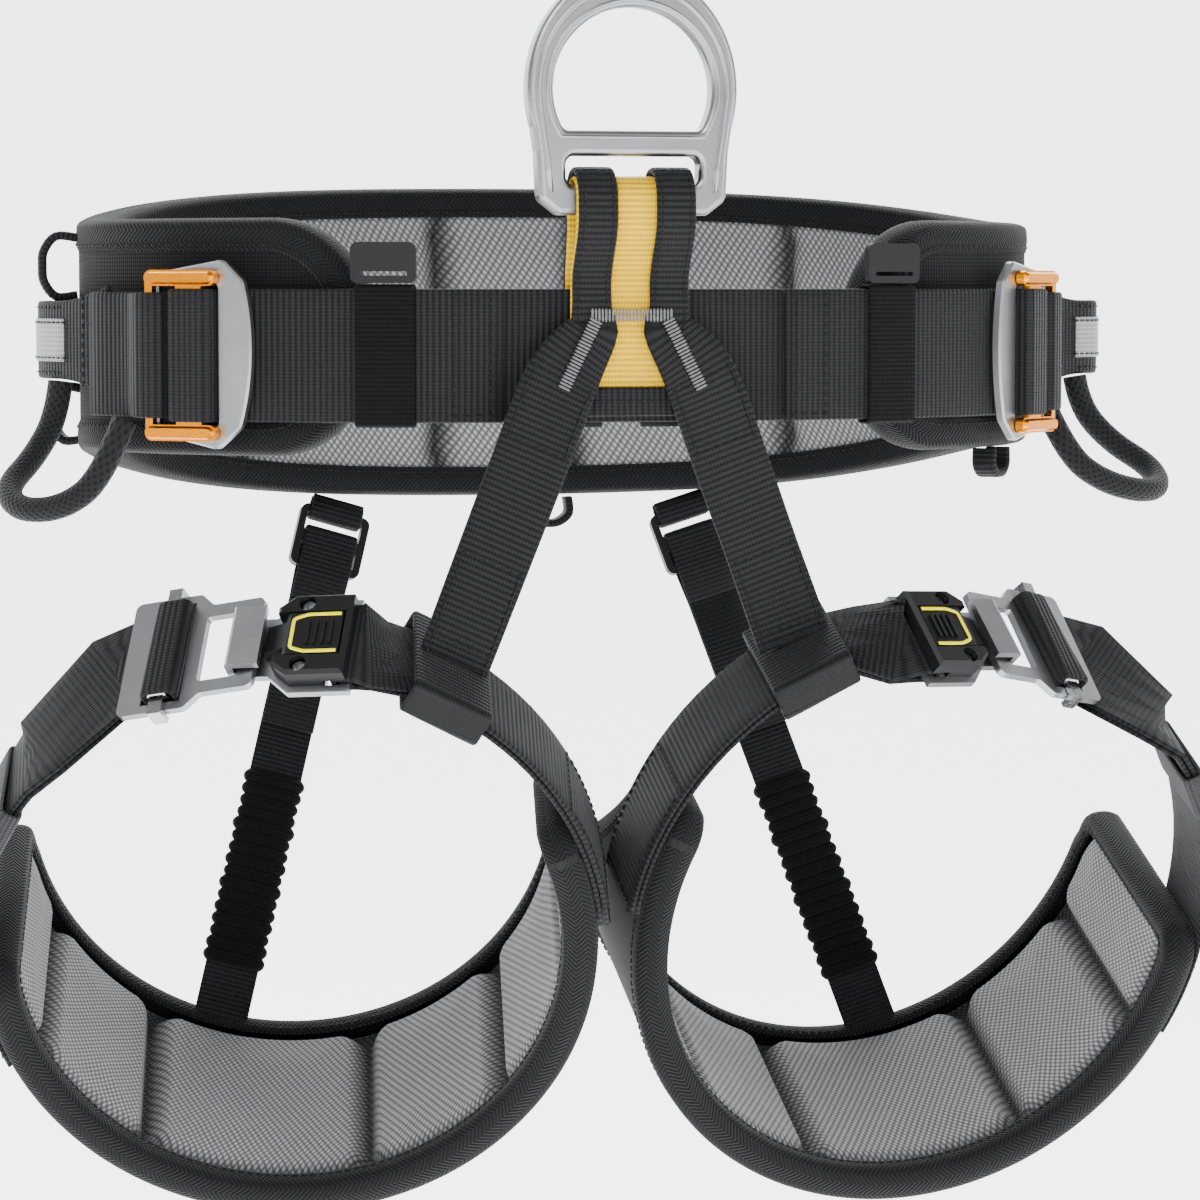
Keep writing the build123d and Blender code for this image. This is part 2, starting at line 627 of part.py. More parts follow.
def latch_housing(side):
    """Moulded cover: two cheeks that carry the lever's pin, a floor between them and a wall behind."""
    at = latch_plane(side)
    with BuildPart() as housing:
        with BuildSketch(at.offset(BASE_T)):
            with BuildLine():
                Polyline((12.2, -HOUSING_HALF), (-7.5, -HOUSING_HALF), (-13.0, -HOUSING_HALF + 4.5),
                         (-13.0, HOUSING_HALF - 4.5), (-7.5, HOUSING_HALF), (12.2, HOUSING_HALF),
                         close=True)
            make_face()
        extrude(amount=HOUSING_TOP - BASE_T)
        edge = housing.faces().filter_by(Axis(at.origin, at.z_dir)).sort_by(
            lambda f: at.to_local_coords(f.center()).Z)[-1]
        chamfer(edge.edges(), 1.2)
        add(block(at, -14, 10.4, CHEEK, BASE_T + 1.0, HOUSING_TOP + 1), mode=Mode.SUBTRACT)
        add(block(at, -14, -9, CHEEK, BASE_T - 1, HOUSING_TOP + 1), mode=Mode.SUBTRACT)
        add(block(at, SLOT_X[0] - 0.4, 13, BASE_HALF + 1.4, BASE_T - 1, WEB_POCKET), mode=Mode.SUBTRACT)
        with BuildSketch(at.offset(HOUSING_TOP + 1)):
            with Locations((SCREW_X, SCREW_Y), (SCREW_X, -SCREW_Y)):
                Circle(SCREW_R + 0.6)
        extrude(amount=-5.0, mode=Mode.SUBTRACT)
        with BuildSketch(at):
            with Locations((SCREW_X, SCREW_Y), (SCREW_X, -SCREW_Y)):
                Circle(SCREW_R * 0.6)
        extrude(amount=HOUSING_TOP, mode=Mode.SUBTRACT)
        with BuildSketch(section_of(at)):
            with Locations((PIN_X, PIN_Z)):
                Circle(PIN_R)
        extrude(amount=PIN_HALF, both=True, mode=Mode.SUBTRACT)
    return housing.part


def latch_lever(side):
    """Rocking lever: a ribbed thumb pad behind the pin, and the tongue that shuts the hook in front."""
    at = latch_plane(side)
    with BuildPart() as lever:
        with BuildSketch(section_of(at)):
            with BuildLine():
                Polyline((9.6, HOUSING_TOP - 0.4), (9.6, HOUSING_TOP - 2.6), (-1.0, 6.4), (-4.0, 4.4),
                         (-8.4, 4.4), (-9.6, BASE_T + SEAT + 0.4), (-16.6, BASE_T + SEAT + 0.4),
                         (-16.6, 6.6), (-11.0, 8.8), (-8.0, HOUSING_TOP - 0.2), close=True)
            make_face()
        extrude(amount=LEVER_HALF, both=True)
        add(block(at, -17, -9.4, 4, BASE_T - 1, HOUSING_TOP + 1, LEVER_HALF + 1), mode=Mode.SUBTRACT)
        add(block(at, -17, -9.4, 4, BASE_T - 1, HOUSING_TOP + 1, -LEVER_HALF - 1), mode=Mode.SUBTRACT)
        for rib in range(4):
            x = -2.0 + 2.6 * rib
            add(block(at, x, x + 1.1, 4.5, HOUSING_TOP - 0.8, HOUSING_TOP + 0.4))
        with BuildSketch(section_of(at)):
            with Locations((PIN_X, PIN_Z)):
                Circle(PIN_R + RUN_GAP)
        extrude(amount=PIN_HALF, both=True, mode=Mode.SUBTRACT)
    return lever.part


def latch_pin(side):
    at = latch_plane(side)
    with BuildPart() as pin:
        with BuildSketch(section_of(at)):
            with Locations((PIN_X, PIN_Z)):
                Circle(PIN_R)
        extrude(amount=PIN_HALF, both=True)
    return pin.part


def latch_spring(side):
    """Bent leaf that lifts the thumb pad."""
    at = latch_plane(side)
    floor = BASE_T + 1.0
    path = [(-2.6, floor + 0.5), (2.6, floor + 0.5), (3.4, floor + 1.4), (2.8, floor + 2.2),
            (0.6, floor + 2.4)]
    return strip(section_of(at), path, 0.5, 9.0)


def latch_screws(side):
    at = latch_plane(side)
    seat = HOUSING_TOP - 4.0
    with BuildPart() as screws:
        with BuildSketch(at.offset(seat)):
            with Locations((SCREW_X, SCREW_Y), (SCREW_X, -SCREW_Y)):
                Circle(SCREW_R)
        extrude(amount=1.6)
        with BuildSketch(at.offset(0.2)):
            with Locations((SCREW_X, SCREW_Y), (SCREW_X, -SCREW_Y)):
                Circle(SCREW_R * 0.6 - RUN_GAP)
        extrude(amount=seat - 0.2)
        with BuildSketch(at.offset(seat + 0.8)):
            with Locations((SCREW_X, SCREW_Y), (SCREW_X, -SCREW_Y)):
                RegularPolygon(1.2, 6)
        extrude(amount=1.0, mode=Mode.SUBTRACT)
    return screws.part


def strap_frame(side):
    """Steel frame: end bar in the hook, window, middle bar, strap slot and outer bar."""
    at = strap_frame_plane(side)
    slot_mid, slot_len = sum(FRAME_SLOT) / 2, FRAME_SLOT[1] - FRAME_SLOT[0]
    with BuildPart() as frame:
        with BuildSketch(at.offset(-FRAME_T / 2)):
            with BuildLine():
                Polyline((3, -FRAME_NARROW), (3, FRAME_NARROW), (-16, FRAME_NARROW), (-21, FRAME_WIDE),
                         (-FRAME_LEN, FRAME_WIDE), (-FRAME_LEN, -FRAME_WIDE), (-21, -FRAME_WIDE),
                         (-16, -FRAME_NARROW), close=True)
            make_face()
            with Locations((-10.3, 0)):
                RectangleRounded(14.6, 25.5, 1.5, mode=Mode.SUBTRACT)
            with Locations((slot_mid, 0)):
                Rectangle(slot_len, LEG_WEB + 0.8, mode=Mode.SUBTRACT)
        extrude(amount=FRAME_T)
        uprights = frame.edges().filter_by(Axis(at.origin, at.z_dir))
        corners = [e for e in uprights if abs(at.to_local_coords(e.center()).Y) > FRAME_NARROW - 0.5
                   and abs(abs(at.to_local_coords(e.center()).Y) - LEG_WEB / 2 - 0.4) > 0.3]
        fillet(corners, 2.5)
    return frame.part


def slider_bar(side):
    """Flat bar that lies on the frame over its slot; its ends turn down past the frame's sides."""
    at = strap_frame_plane(side)
    low = FRAME_T / 2 + SEAT
    reach = FRAME_WIDE + SEAT
    with BuildPart() as bar:
        add(block(at, SLIDER_X - SLIDER_HALF, SLIDER_X + SLIDER_HALF, LEG_WEB / 2 - 1, low, low + SLIDER_T))
        upper = bar.faces().filter_by(Axis(at.origin, at.z_dir)).sort_by(
            lambda f: at.to_local_coords(f.center()).Z)[-1]
        chamfer(upper.edges(), 0.9)
        add(block(at, SLIDER_X - 2.5, SLIDER_X + 2.5, reach + 2.0, low, low + 2.0))
        for end in (-1, 1):
            add(block(at, SLIDER_X - 2.5, SLIDER_X + 2.5, 1.0, -FRAME_T / 2 - 1.5, low + 1.0,
                      end * (reach + 1.0)))
    return bar.part


# ---------------------------------------------------------------- leg webbing
def web_section(at, run, across, thickness, width):
    """A cut through webbing, ready for a loft."""
    x = Vector(*across).normalized()
    with BuildSketch(Plane(at, x_dir=x, z_dir=x.cross(run.cross(x)).normalized() * -1)) as cut:
        Rectangle(width, thickness)
    return cut.sketch.faces()[0]


def web_loft(points, across, thickness, width):
    """Webbing through a line of points, each with its own direction across the webbing."""
    cuts = []
    for i, at in enumerate(points):
        run = points[min(i + 1, len(points) - 1)] - points[max(i - 1, 0)]
        cuts.append(web_section(at, run, across[i], thickness, width))
    with BuildPart() as web:
        loft(sections=cuts, ruled=True)
    return web.part


def mix(a, b, share):
    return (Vector(*a).normalized() * (1 - share) + Vector(*b).normalized() * share).normalized()


def leg_straps(side):
    """The inner strap, from the pad up to the latch, and the outer strap with its tail."""
    ring_across = leg_plane(side).z_dir
    mid = -LEG_WEB / 2 - 2.0
    latch, frame = latch_plane(side), strap_frame_plane(side)
    phis = (84, 77, 70, 63, 56, 49, 42, 35, 28, 20.5)
    inner_points = [leg_point(side, phi, INNER_MID, mid) for phi in phis]
    inner_across = [ring_across] * len(phis)
    inner_points.append(latch.from_local_coords(Vector(15.6, 0, BASE_T / 2)))
    inner_across.append(mix(ring_across, ACROSS[side], 0.8))
    with BuildPart() as inner:
        add(web_loft(inner_points, inner_across, 2 * LEG_WEB_T + SEWN, LEG_WEB))
        add(strip(section_of(latch), [(16.5, BASE_T / 2 + 0.8), (13.6, BASE_T + SEAT + LEG_WEB_T / 2),
                                      (8.6, BASE_T + SEAT + LEG_WEB_T / 2), (7.0, BASE_T / 2),
                                      (8.6, -SEAT - LEG_WEB_T / 2), (13.6, -SEAT - LEG_WEB_T / 2),
                                      (16.5, BASE_T / 2 - 0.8)], LEG_WEB_T, 2 * BASE_HALF - 6))
    low = FRAME_T / 2 + SEAT + LEG_WEB_T / 2
    gap = LEG_WEB_T + SEWN
    side_x = SLIDER_HALF + SEAT + LEG_WEB_T / 2
    hook_x = side_x + SLIDER_PLAY
    top = FRAME_T / 2 + 2 * SEAT + SLIDER_T + LEG_WEB_T / 2
    turn = [(-FRAME_LEN + 1, -low), (SLIDER_X - side_x - 1.6, -low), (SLIDER_X - side_x, -low + 1.6),
            (SLIDER_X - side_x, top - 1.4), (SLIDER_X - side_x + 1.4, top), (SLIDER_X + hook_x - 1.2, top),
            (SLIDER_X + hook_x, top - 1.2), (SLIDER_X + hook_x, -low - 0.6),
            (SLIDER_X + hook_x - 1.6, -low - gap), (-FRAME_LEN + 1, -low - gap)]
    phis = (-50, -58, -66, -74, -82, -90, -98, -106, -114)
    shares = (0.65, 0.4, 0.2, 0.05, 0, 0, 0, 0, 0)
    across = [Vector(*ACROSS[side])] * 2 + [mix(ring_across, ACROSS[side], s) for s in shares]
    main = [frame.from_local_coords(Vector(x, 0, z)) for x, z in
            ((-FRAME_LEN + 1.5, -low - gap), (-FRAME_LEN - 6, -low - gap - 0.8))]
    main += [leg_point(side, phi, 0.6 + LEG_WEB_T / 2, mid) for phi in phis]
    tail = [frame.from_local_coords(Vector(x, 0, z)) for x, z in
            ((-FRAME_LEN + 1.5, -low), (-FRAME_LEN - 6, -low - 0.8))]
    tail += [leg_point(side, phi, 0.6 + LEG_WEB_T * 1.5 + SEWN, mid) for phi in phis[:6]]
    with BuildPart() as outer:
        add(web_loft(main, across, LEG_WEB_T, LEG_WEB - 1))
        add(strip(section_of(frame), turn, LEG_WEB_T, LEG_WEB - 1))
        add(web_loft(tail, across[:8], LEG_WEB_T, LEG_WEB - 1))
    return inner.part, outer.part


def leg_keeper(side):
    """Elastic band with a plastic clip, round the strap and its tail."""
    phi = -63.0
    at = leg_point(side, phi, 0.6 + LEG_WEB_T + SEWN / 2, -LEG_WEB / 2 - 2.0)
    ahead = leg_point(side, phi + 3, 0.6 + LEG_WEB_T + SEWN / 2, -LEG_WEB / 2 - 2.0)
    run = (ahead - at).normalized()
    across = mix(leg_plane(side).z_dir, ACROSS[side], 0.28)
    normal = run.cross(across)
    if normal.Z < 0:
        normal = normal * -1
    plane = Plane(at, x_dir=run, z_dir=normal)
    half, reach = LEG_WEB / 2 + SEAT, LEG_WEB_T + SEWN / 2 + 1.6
    with BuildPart() as band:
        add(block(plane, -9, 9, half + 1.4, -reach - 1.2, reach + 1.2))
        add(block(plane, -20, 20, half, -reach, reach), mode=Mode.SUBTRACT)
    return band.part


def leg_loop(side):
    shell = leg_pad(side, -SHELL_T, 0.0, BINDING_W * 0.8 + SEWN)
    foam_top = -SHELL_T - SEWN
    foam = leg_pad(side, foam_top - LEG_FOAM_T, foam_top, BINDING_W * 0.8 + SEWN)
    with BuildPart() as binding:
        add(leg_pad(side, foam_top - LEG_FOAM_T - BINDING_T, BINDING_T, 0.0))
        add(leg_pad(side, foam_top - LEG_FOAM_T - 2, 2.0, BINDING_W * 0.8), mode=Mode.SUBTRACT)
    inner, outer = leg_straps(side)
    return {"leg_shell": shell, "leg_foam": foam, "leg_binding": binding.part,
            "leg_strap_inner": inner, "leg_strap_outer": outer, "leg_keeper": leg_keeper(side),
            "latch_base": latch_base(side), "latch_housing": latch_housing(side),
            "latch_lever": latch_lever(side), "latch_pin": latch_pin(side),
            "latch_spring": latch_spring(side), "latch_screws": latch_screws(side),
            "strap_frame": strap_frame(side), "slider_bar": slider_bar(side)}


for side in SIDES:
    for name, solid in leg_loop(side).items():
        save(name + "_" + side, solid)


# ---------------------------------------------------------------- front straps
def front_strap(side):
    """Round the ring's bar beside the yellow stripe, down the bridge, then out to wrap the leg webbing."""
    out = OUTWARD[side]
    narrow = BRIDGE_W / 2 - BRIDGE_SPLIT
    centre = FRONT_X + out * (BRIDGE_W / 2 + BRIDGE_SPLIT) / 2
    front = -BRIDGE_FRONT + BACKING_T + BRIDGE_SEAM + STRAP_T / 2
    back = -BRIDGE_BACK - BACKING_T - BRIDGE_SEAM - STRAP_T / 2
    wrap_top = leg_point(side, WRAP_AT, WRAP_OUT + STRAP_T + SEAT + 0.7, -LEG_WEB / 2 - 2.0)
    knee = Vector(FRONT_X + out * (BRIDGE_W / 2 + 4), -front - 1.6, -8.0)
    start = Vector(centre, -front - 0.4, 16.0)
    with BuildPart() as strap:
        add(bridge_strip(centre, strap_r, front, back, 12.0, BRIDGE_BACK_LOW, STRAP_T, narrow))
        add(web_loft([start, knee, knee + (wrap_top - knee) * 0.5, wrap_top],
                     [(1, 0, 0), (0.95, 0, out * 0.2), (0.93, 0, out * 0.34), leg_run(side)],
                     STRAP_T, STRAP_W * 0.9))
    return strap.part


def leg_run(side):
    """Direction along the leg webbing where the front strap wraps it."""
    run = leg_point(side, WRAP_AT - 2, 0, 0) - leg_point(side, WRAP_AT + 2, 0, 0)
    return run.normalized() * OUTWARD[side]


def strap_wrap(side):
    """End of the front strap: a flat sleeve sewn round the leg webbing."""
    inner, outer = WRAP_IN, WRAP_OUT
    near, far = -0.8, -LEG_WEB - 3.2
    with BuildPart() as wrap:
        add(leg_band(side, inner - STRAP_T, outer + STRAP_T, near + STRAP_T, far - STRAP_T,
                     WRAP_AT - WRAP_HALF, WRAP_AT + WRAP_HALF))
        add(leg_band(side, inner, outer, near, far, WRAP_AT - WRAP_HALF - 5, WRAP_AT + WRAP_HALF + 5),
            mode=Mode.SUBTRACT)
    return wrap.part


for side in SIDES:
    save("front_strap_" + side, front_strap(side))
    save("strap_wrap_" + side, strap_wrap(side))


# ---------------------------------------------------------------- risers behind
def lock_plane(side):
    """Ladder lock: x across, y up, z towards the wearer's front."""
    low = leg_point(side, RISER_PHI[side], -SHELL_T - SEWN - LEG_FOAM_T - 1.5, -LEG_PAD_W[side] + 5)
    up = (Vector(*LOCK_AT[side]) - low).normalized()
    x = up.cross(Vector(0, 1, 0)).normalized() * -1
    if x.X < 0:
        x = x * -1
    return Plane(LOCK_AT[side], x_dir=x, z_dir=x.cross(up))


def ladder_lock(side):
    at = lock_plane(side)
    with BuildPart() as lock:
        with BuildSketch(at.offset(-LOCK_T / 2)):
            RectangleRounded(LOCK_W, LOCK_H, 3.0)
            with Locations((0, 5.4)):
                Rectangle(LOCK_W - 5.5, 7.2, mode=Mode.SUBTRACT)
            with Locations((0, -5.8)):
                Rectangle(LOCK_W - 5.5, 6.0, mode=Mode.SUBTRACT)
        extrude(amount=LOCK_T)
    return lock.part


def riser_anchor(side):
    """Short webbing loop from the waist pad to the top bar of the ladder lock."""
    at = lock_plane(side)
    section = Plane(at.origin, x_dir=at.z_dir, z_dir=at.z_dir.cross(at.y_dir))
    top = (ANCHOR_TOP - LOCK_AT[side][2]) / at.y_dir.Z
    reach = LOCK_T / 2 + 1.1
    return strip(section, [(1.2, top), (reach, 12.6), (reach, 8.7), (1.8, 7.5), (-1.8, 7.5),
                           (-reach, 8.7), (-reach, 12.6), (-1.2, top)], 1.6, RISER_W)


def riser(side):
    """Webbing from the ladder lock down to the leg pad, its tail, and the ruched elastic between."""
    at = lock_plane(side)
    section = Plane(at.origin, x_dir=at.z_dir, z_dir=at.z_dir.cross(at.y_dir))
    low = leg_point(side, RISER_PHI[side], -SHELL_T - SEWN - LEG_FOAM_T - 1.5, -LEG_PAD_W[side] + 5)
    length = (Vector(*LOCK_AT[side]) - low).length
    reach = LOCK_T / 2 + 1.1
    path = [(-1.1, -length + 1.2), (-1.1, -24), (-reach, -13), (-reach, 2.4), (-1.6, 3.5), (1.6, 3.5),
            (reach, 2.4), (reach, -13), (0.9, -24), (0.9, -length * 0.40)]
    ruched = [(-1.1, -length * ELASTIC_FROM), (-1.1, -length * ELASTIC_TO)]
    with BuildPart() as elastic:
        add(strip(section, ruched, 5.0, RISER_W + 3.2))
        add(strip(section, [(-1.1, 0), (-1.1, -length)], RISER_T + 2 * SEAT, RISER_W + 2 * SEAT),
            mode=Mode.SUBTRACT)
    web = strip(section, path, RISER_T, RISER_W)
    return web, elastic.part


with BuildPart() as riser_anchors:
    for side in SIDES:
        add(riser_anchor(side))
save("riser_anchors", riser_anchors.part)
for side in SIDES:
    web, elastic = riser(side)
    save("riser_webbing_" + side, web)
    save("riser_elastic_" + side, elastic)
    save("ladder_lock_" + side, ladder_lock(side))


# ---------------------------------------------------------------- gear loops
GEAR_ROUTE = {
    "left": [(-180, -9, -9.9), (-181.5, -10, -22), (-190, -15, -36), (-201, -26, -46), (-198, -40, -53),
             (-184, -49, -52), (-171, -52, -42), (-163, -50.5, -22.3)],
    "right": [(193, -7, -9.9), (194.5, -8, -21), (205, -13, -34), (218, -21, -43), (217, -33, -50),
              (206, -41, -51), (191, -43, -47), (179, -40, -38), (172.5, -36, -22.3)],
}
CORD_STIFF = 0.45


def cord_tube(name, points, radius):
    """A tube along straight runs joined by arcs as large as the runs allow."""
    spots = [Vector(*p) for p in points]
    runs = [(b - a).length for a, b in zip(spots, spots[1:])]
    bends = []
    for i in range(1, len(spots) - 1):
        turn = (spots[i] - spots[i - 1]).get_angle(spots[i + 1] - spots[i])
        bends.append(CORD_STIFF * min(runs[i - 1], runs[i]) / tan(radians(turn / 2)))
    print(name, "bend radii", [round(b, 1) for b in bends], "runs", [round(r, 1) for r in runs])
    with BuildPart() as tube:
        with BuildLine() as path:
            FilletPolyline(*spots, radius=bends)
        with BuildSketch(Plane(spots[0], z_dir=spots[1] - spots[0])):
            Circle(radius)
        sweep()
    length = path.wires()[0].length
    ratio = tube.part.volume / (3.14159 * radius ** 2 * length)
    print(name, "length", round(length, 1), "volume ratio", round(ratio, 4))
    return tube.part


for side in SIDES:
    save("gear_loop_" + side, cord_tube("gear_loop_" + side, GEAR_ROUTE[side], CORD_R))
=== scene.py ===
# %% [markdown]
# # A tree climbing saddle
# A padded belt, a front ring on a bridge of webbing, and two padded leg loops. The hard parts (ring,
# buckles, latches, ladder locks) come ready from the frame, and keep their shape. Everything soft is
# made here: pads, binding tape, webbing, elastic, cord and stitching. The frame goes first, because
# every soft piece is placed by the same few sizes as the parts that it joins.

# %% Load the frame
import bmesh
import bpy
from math import acos, cos, degrees, exp, pi, radians, sin, sqrt
from mathutils import Matrix, Vector


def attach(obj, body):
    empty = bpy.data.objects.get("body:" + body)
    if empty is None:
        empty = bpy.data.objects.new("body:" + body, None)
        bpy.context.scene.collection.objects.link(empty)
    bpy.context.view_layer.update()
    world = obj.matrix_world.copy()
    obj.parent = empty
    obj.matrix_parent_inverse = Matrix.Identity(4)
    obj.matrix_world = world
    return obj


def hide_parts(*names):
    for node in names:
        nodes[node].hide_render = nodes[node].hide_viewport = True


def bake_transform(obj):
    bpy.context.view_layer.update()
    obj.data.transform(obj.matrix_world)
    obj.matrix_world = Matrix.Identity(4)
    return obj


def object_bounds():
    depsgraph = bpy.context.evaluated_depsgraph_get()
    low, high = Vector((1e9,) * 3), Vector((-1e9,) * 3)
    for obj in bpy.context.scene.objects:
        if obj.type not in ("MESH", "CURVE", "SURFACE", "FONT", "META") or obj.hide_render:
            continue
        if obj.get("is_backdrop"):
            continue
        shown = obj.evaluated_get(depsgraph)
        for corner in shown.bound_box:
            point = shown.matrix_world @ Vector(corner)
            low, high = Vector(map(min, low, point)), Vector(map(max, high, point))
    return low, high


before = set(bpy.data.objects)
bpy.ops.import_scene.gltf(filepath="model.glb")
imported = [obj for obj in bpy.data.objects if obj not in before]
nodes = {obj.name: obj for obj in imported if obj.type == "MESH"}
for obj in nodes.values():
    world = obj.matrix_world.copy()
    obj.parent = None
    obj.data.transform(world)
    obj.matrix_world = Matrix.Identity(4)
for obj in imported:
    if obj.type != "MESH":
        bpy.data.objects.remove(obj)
cad_low, cad_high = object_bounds()
MM = 0.001
SIDES = ("left", "right")
OUT = {"left": -1.0, "right": 1.0}

# %% [markdown]
# ## Camera, light and floor
# The saddle is seen from a little to its left, from well away, so the lens is long. Four large soft
# lamps light it as in a studio: a strong one high on the left, a weaker one on the right, one behind
# for the edges and one low in front. The floor bends up into a wall, so from the front no horizon shows.

# %% Camera, light and floor
CAMERA_AT = Vector((-337.4, -1461.6, 23.0)) * MM
CAMERA_TURN, CAMERA_DOWN = 13.55, 4.3  # degrees to the right of straight ahead, and down
SENSOR, IMAGE_FOCAL, IMAGE_SIDE = 36.0, 4170.0, 1200.0


def look(turn, down):
    """The direction seen from the camera, turned right and down from straight ahead (+Y)."""
    flat = Vector((sin(radians(turn)), cos(radians(turn)), 0))
    return (flat * cos(radians(down)) + Vector((0, 0, -sin(radians(down))))).normalized()


lens = bpy.data.cameras.new("camera")
lens.sensor_width = SENSOR
lens.lens = SENSOR * IMAGE_FOCAL / IMAGE_SIDE
lens.clip_start, lens.clip_end = 0.05, 20.0
camera = bpy.data.objects.new("camera", lens)
bpy.context.scene.collection.objects.link(camera)
camera.location = CAMERA_AT
camera.rotation_euler = look(CAMERA_TURN, CAMERA_DOWN).to_track_quat("-Z", "Y").to_euler()
bpy.context.scene.camera = camera

LAMPS_AIM = Vector((0, -0.03, -0.12))
LAMPS = [("key_light", (-1.0, -1.5, 1.35), 1.5, 46.0), ("fill_light", (1.5, -1.3, 0.5), 1.6, 24.0),
         ("rim_light", (0.4, 1.5, 1.3), 1.4, 34.0), ("front_light", (-0.2, -1.9, -0.1), 1.2, 12.0)]
WORLD_COLOUR, WORLD_STRENGTH = (0.94, 0.95, 0.96, 1), 0.5
for name, place, size, power in LAMPS:
    lamp = bpy.data.lights.new(name, "AREA")
    lamp.shape, lamp.size, lamp.energy = "DISK", size, power
    holder = bpy.data.objects.new(name, lamp)
    bpy.context.scene.collection.objects.link(holder)
    holder.location = place
    holder.rotation_euler = (LAMPS_AIM - Vector(place)).to_track_quat("-Z", "Y").to_euler()
world = bpy.data.worlds.new("studio")
bpy.context.scene.world = world
world.use_nodes = True
sky = world.node_tree.nodes["Background"].inputs
sky["Color"].default_value, sky["Strength"].default_value = WORLD_COLOUR, WORLD_STRENGTH

# %% [markdown]
# ## Small helpers
# One function turns a hex colour to the linear values that shaders want. One adds a shader node with
# its settings and links. One makes a mesh from points in millimetres, with its own UV map, also in
# millimetres, so that a pattern's size is a real size.

# %% Small helpers


def colour(hex_value):
    """A linear RGBA colour from an sRGB hex value."""
    parts = [int(hex_value[i:i + 2], 16) / 255 for i in (1, 3, 5)]
    return tuple(p / 12.92 if p <= 0.04045 else ((p + 0.055) / 1.055) ** 2.4 for p in parts) + (1.0,)


def node(tree, kind, inputs=None, **settings):
    """Add a node, set its settings, then set or link its inputs."""
    made = tree.nodes.new(kind)
    for key, value in settings.items():
        setattr(made, key, value)
    for key, value in (inputs or {}).items():
        socket = made.inputs[key]
        if isinstance(value, bpy.types.NodeSocket):
            tree.links.new(value, socket)
        else:
            socket.default_value = value
    return made


def link_object(name, mesh):
    made = bpy.data.objects.new(name, mesh)
    bpy.context.scene.collection.objects.link(made)
    return made


def make_piece(name, points, faces, material, uv=None):
    """A mesh from points in millimetres. uv gives each point's place in its pattern, in millimetres."""
    mesh = bpy.data.meshes.new(name)
    mesh.from_pydata([Vector(p) * MM for p in points], [], faces)
    mesh.materials.append(material)
    layer = mesh.uv_layers.new(name="pattern")
    if uv:
        for loop in mesh.loops:
            layer.data[loop.index].uv = uv[loop.vertex_index]
    mesh.polygons.foreach_set("use_smooth", [True] * len(mesh.polygons))
    mesh.update()
    return link_object(name, mesh)


def closed_piece(name, mesh, material):
    """A piece from the points, faces and uv of a closed mesh, with every face turned outwards."""
    points, faces, uv = mesh
    piece = make_piece(name, points, faces, material, uv)
    work = bmesh.new()
    work.from_mesh(piece.data)
    bmesh.ops.recalc_face_normals(work, faces=work.faces)
    work.to_mesh(piece.data)
    work.free()
    return piece


def ring_faces(count, ring, closed=False):
    """Faces that join count rings of points: round in a loop, or with a face on either end."""
    faces = []
    for i in range(count if closed else count - 1):
        a, b = i * ring, ((i + 1) % count) * ring
        for k in range(ring):
            m = (k + 1) % ring
            faces.append((a + k, a + m, b + m, b + k))
    if not closed:
        faces += [tuple(reversed(range(ring))), tuple(range((count - 1) * ring, count * ring))]
    return faces


def finished(piece, body, slot, *replaced):
    """Say what a finished piece moves with and the parts that it stands for. slot is not used."""
    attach(piece, body)
    if replaced:
        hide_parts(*replaced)
    print(piece.name, "on", body, "for", ", ".join(replaced) or "detail")
    return piece


def bending(piece, side, start, end, slot, *replaced):
    """For a piece that lies between the harness and a leg loop: its place is baked into its points and the
    parts that it stands for are hidden. start, end and slot are not used.
    """
    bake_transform(piece)
    if replaced:
        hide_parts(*replaced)
    print(piece.name, "bends to leg", side)
    return piece

# %% [markdown]
# ## The two families of curved places
# Everything soft lies on one of three surfaces: the ellipse of the waist, or the oval of a leg loop on
# either side. Each gets a function from an angle, a distance across and a height off the pad to a point.
# The sizes are those of the frame.

# %% The waist ellipse
WAIST_A, WAIST_B = 172.0, 105.0
UP = Vector((0, 0, 1))


def waist_at(angle, off=0.0, z=0.0):
    a = radians(angle)
    return Vector(((WAIST_A + off) * cos(a), (WAIST_B + off) * sin(a), z))


def waist_out(angle):
    a = radians(angle)
    return Vector((cos(a) * WAIST_B, sin(a) * WAIST_A, 0)).normalized()


def plane(origin, x, z):
    """A frame of axes: x along, z out, at an origin. Multiply it by a local point."""
    x, z = Vector(x).normalized(), Vector(z).normalized()
    y = z.cross(x)
    made = Matrix((x, y, z)).transposed().to_4x4()
    made.translation = origin
    return made


def waist_plane(angle, off, z=0.0):
    n = waist_out(angle)
    return plane(waist_at(angle, off, z), UP.cross(n), n)


# %% The leg loops
LEG_R, LEG_WEB = 103.0, 38.0
LEG_RISE = {"left": 1.07, "right": 1.08}
LEG_C = {"left": (-114.0, -91.0, -202.5), "right": (110.0, -90.0, -202.5)}
LEG_TILT = {"left": 27.4, "right": 22.5}
LEG_SPLAY = {"left": 10.0, "right": 0.0}
LEG_PAD_W = {"left": 98.0, "right": 101.0}
PAD_FROM, PAD_TO = 62.0, 268.0
WRAP_AT, WRAP_HALF = 29.0, 8.0


def leg_axes(side):
    """Across the loop, up the loop, and along the thigh towards the front."""
    splay, tilt = radians(LEG_SPLAY[side]), radians(LEG_TILT[side])
    across = Vector((cos(splay), OUT[side] * sin(splay), 0))
    level = Vector((across.y, -across.x, 0))
    thigh = level * cos(tilt) - UP * sin(tilt)
    return across, thigh.cross(across), thigh


